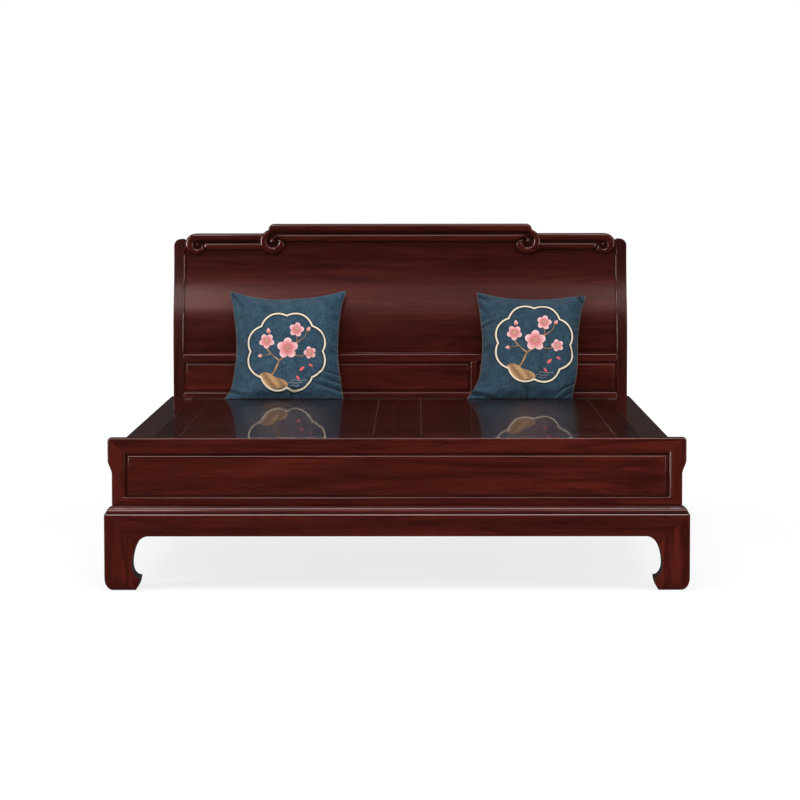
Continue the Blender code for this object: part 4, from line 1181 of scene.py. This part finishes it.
def make_beads():
    """A bead round the footboard's opening, one up each headboard post and a fine one over the mid rail."""
    wood = lacquered_wood("wood_beads", "frame", "X", (0.9, 1.9, 0.2))
    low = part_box("foot_bottom_rail")
    inset = BEAD_TURN - BEAD_OUT
    left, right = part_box("foot_stile_left")[1].x + inset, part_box("foot_stile_right")[0].x - inset
    under, over = low[1].z + inset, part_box("foot_top_rail")[0].z - inset
    corners = ((right, over, (0, 1)), (left, over, (1, 1)), (left, under, (1, 0)), (right, under, (0, 0)))
    path = []
    for number, (across, up, sunk) in enumerate(corners):
        arc = arc_points((across, up), BEAD_TURN, 90 * number, 90 * number + 90, 4)
        depths = low[0].y + BEAD_SUNK * np.linspace(*sunk, len(arc))
        path += [(x, depth, z) for (x, z), depth in zip(arc, depths)]
    bead("foot_bead", path, FOOT_BEAD, wood, closed=True)
    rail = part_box("head_mid_rail")
    heights = np.linspace(rail[1].z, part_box("crest_left")[0].z, 40)
    places = np.linspace(*POST_BEAD_X, 40)
    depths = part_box("head_post_left")[0].y + lean(heights)
    depths += POST_BEAD * np.clip(1 - (heights - heights[0]) / POST_BEAD_FADE, 0, 1)
    upright = lacquered_wood("wood_post_beads", "head", "Z", (0.4, 1.1, 2.2))
    for side, word in ((-1, "left"), (1, "right")):
        bead(f"head_post_{word}_bead", zip(side * places, depths, heights), POST_BEAD, upright)
    level = rail[1].z + FINE_BEAD
    path = [(corner.x, panel_line(level), level) for corner in rail]
    bead("head_mid_bead", path, FINE_BEAD, wood)


def make_seam():
    """A dark tongue in the seam between the deck's halves, on the left one; its dark wood is painted shade in
    the seam.
    """
    low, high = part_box("deck_left_inner_stile")
    half = SEAM_SHARE * -high.x
    shape = bmesh.new()
    bmesh.ops.create_cube(shape, size=1.0)
    for vert in shape.verts:
        vert.co = (2 * half * vert.co.x, (low.y + high.y) / 2 + (high.y - low.y) * vert.co.y,
                   high.z - SEAM_DEPTH + SEAM_TALL * vert.co.z)
    mesh = mesh_of(shape, "deck_left_seam_shade")
    tongue = new_object("deck_left_seam_shade", mesh, lacquered_wood("wood_seam", "groove", "Y", (0.3, 0.8, 1.7)))
    mesh.shade_flat()
    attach(tongue, "deck_left")


# Studio: the world's light; the floor's half size, drop, tone and glow, and its shadow's strength and reach;
# the pieces of the foot end, which one lamp lights alone
WHITE = (1.0, 1.0, 1.0, 1.0)
WORLD_DIM = 0.03
FLOOR_HALF = 14
FLOOR_DROP = 0.0005
FLOOR_TONE = (0.8, 0.8, 0.8, 1.0)
FLOOR_GLOW = 1.06
SHADOW_SHARE = 0.25
SHADOW_REACH = (1.6, 3.4)
FOOT_PIECES = ("foot_top_rail", "foot_bottom_rail", "foot_stile_left", "foot_stile_right", "foot_panel",
               "apron", "leg_left", "leg_right")


def make_camera():
    data = bpy.data.cameras.new("camera")
    settle(data, sensor_width=36.0, lens=CAMERA_LENS, clip_end=100.0)
    turn = (math.pi / 2 - CAMERA_PITCH, CAMERA_ROLL, CAMERA_YAW)
    SCENE.camera = settle(placed("camera", data), location=CAMERA_PLACE, rotation_euler=turn)


def light(name, place, target, size, power, glossy=True, diffuse=True, only=()):
    """An area lamp; with only, it lights just those pieces."""
    data = bpy.data.lights.new(name, "AREA")
    settle(data, shape="RECTANGLE", size=size[0], size_y=size[1], energy=power)
    turn = (Vector(target) - Vector(place)).to_track_quat("-Z", "Y").to_euler()
    made = settle(placed(name, data), location=place, rotation_euler=turn)
    settle(made, visible_camera=False, visible_glossy=glossy, visible_diffuse=diffuse)
    if only:
        lit = bpy.data.collections.new(name + "_lit")
        for piece in only:
            lit.objects.link(piece)
        made.light_linking.receiver_collection = lit


def mixed_shader(tree, share, first, second):
    return add(tree, "ShaderNodeMixShader", {0: share, 1: first, 2: second}).outputs["Shader"]


def camera_ray(tree):
    return add(tree, "ShaderNodeLightPath").outputs["Is Camera Ray"]


def make_floor():
    """A pale floor: the camera sees it white with a faint shadow by the bed, and it throws soft light up."""
    shape = bmesh.new()
    bmesh.ops.create_grid(shape, x_segments=8, y_segments=8, size=FLOOR_HALF)
    mesh = mesh_of(shape, "floor")
    floor = placed("floor", mesh)
    floor.location.z = -FLOOR_DROP
    made, tree, shader = new_material("pale_floor")
    feed(shader, {"Base Color": FLOOR_TONE, "Roughness": 0.9})
    plain = shader.outputs["BSDF"]
    glow = add(tree, "ShaderNodeEmission", {"Strength": FLOOR_GLOW}).outputs["Emission"]
    away = add(tree, "ShaderNodeVectorMath", {0: object_place(tree)}, operation="LENGTH").outputs["Value"]
    shaded = mixed_shader(tree, spread(tree, away, SHADOW_SHARE, 0.0, *SHADOW_REACH), glow, plain)
    seen = mixed_shader(tree, camera_ray(tree), plain, shaded)
    feed(tree.nodes["Material Output"], {"Surface": seen})
    mesh.materials.append(made)
    floor.visible_glossy = False


def make_world():
    """White for the camera, dim and even for everything else."""
    world = bpy.data.worlds.new("studio")
    world.use_nodes = True
    SCENE.world = world
    tree = world.node_tree
    dim = tree.nodes["Background"]
    feed(dim, {"Color": WHITE, "Strength": WORLD_DIM})
    white = add(tree, "ShaderNodeBackground", {"Color": WHITE})
    seen = mixed_shader(tree, camera_ray(tree), dim.outputs["Background"], white.outputs["Background"])
    feed(tree.nodes["World Output"], {"Surface": seen})


def make_lights():
    light("fill_front", (0.0, -9.0, 3.2), (0.0, 0.0, 0.6), (7.0, 4.0), 300.0, glossy=False)
    light("key_top", (0.0, -4.5, 7.0), (0.0, 0.4, 0.7), (7.0, 4.0), 330.0, glossy=False)
    light("fill_back", (0.0, 8.0, 3.5), (0.0, 0.0, 0.6), (6.0, 3.0), 260.0, glossy=False)
    light("soft_top", (0.0, -0.6, 5.0), (0.0, 0.0, 0.5), (4.6, 3.4), 120.0)
    light("soft_front_top", (0.0, -6.0, 6.2), (0.0, 0.6, 0.9), (6.0, 3.4), 45.0, diffuse=False)
    for side, window, patch, rim in ((-1, 620.0, 46.0, 55.0), (1, 210.0, 22.0, 38.0)):
        light("strip", (5.2 * side, -3.6, 1.6), (0.0, 0.4, 0.7), (0.9, 3.2), 90.0, glossy=False)
        light("window", (5.2 * side, -3.6, 1.6), (0.0, 0.4, 0.7), (1.8, 3.4), window, diffuse=False)
        light("patch", (1.87 * side, -6.0, 5.9), (0.9 * side, 1.0, 0.93), (1.25, 2.0), patch, diffuse=False)
        light("rim", (4.2 * side, -3.2, 4.6), (0.5 * side, 1.0, 1.0), (0.9, 0.9), rim)
    foot = [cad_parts[name] for name in FOOT_PIECES]
    light("foot_top", (0.0, -1.95, 2.35), (0.0, -1.11, 0.52), (3.4, 2.2), 190.0, diffuse=False, only=foot)


def set_view():
    SCENE.view_settings.view_transform = "Standard"


dress_frame()
make_crests()
make_beads()
make_seam()
make_cushions()
make_camera()
make_floor()
make_world()
make_lights()
set_view()
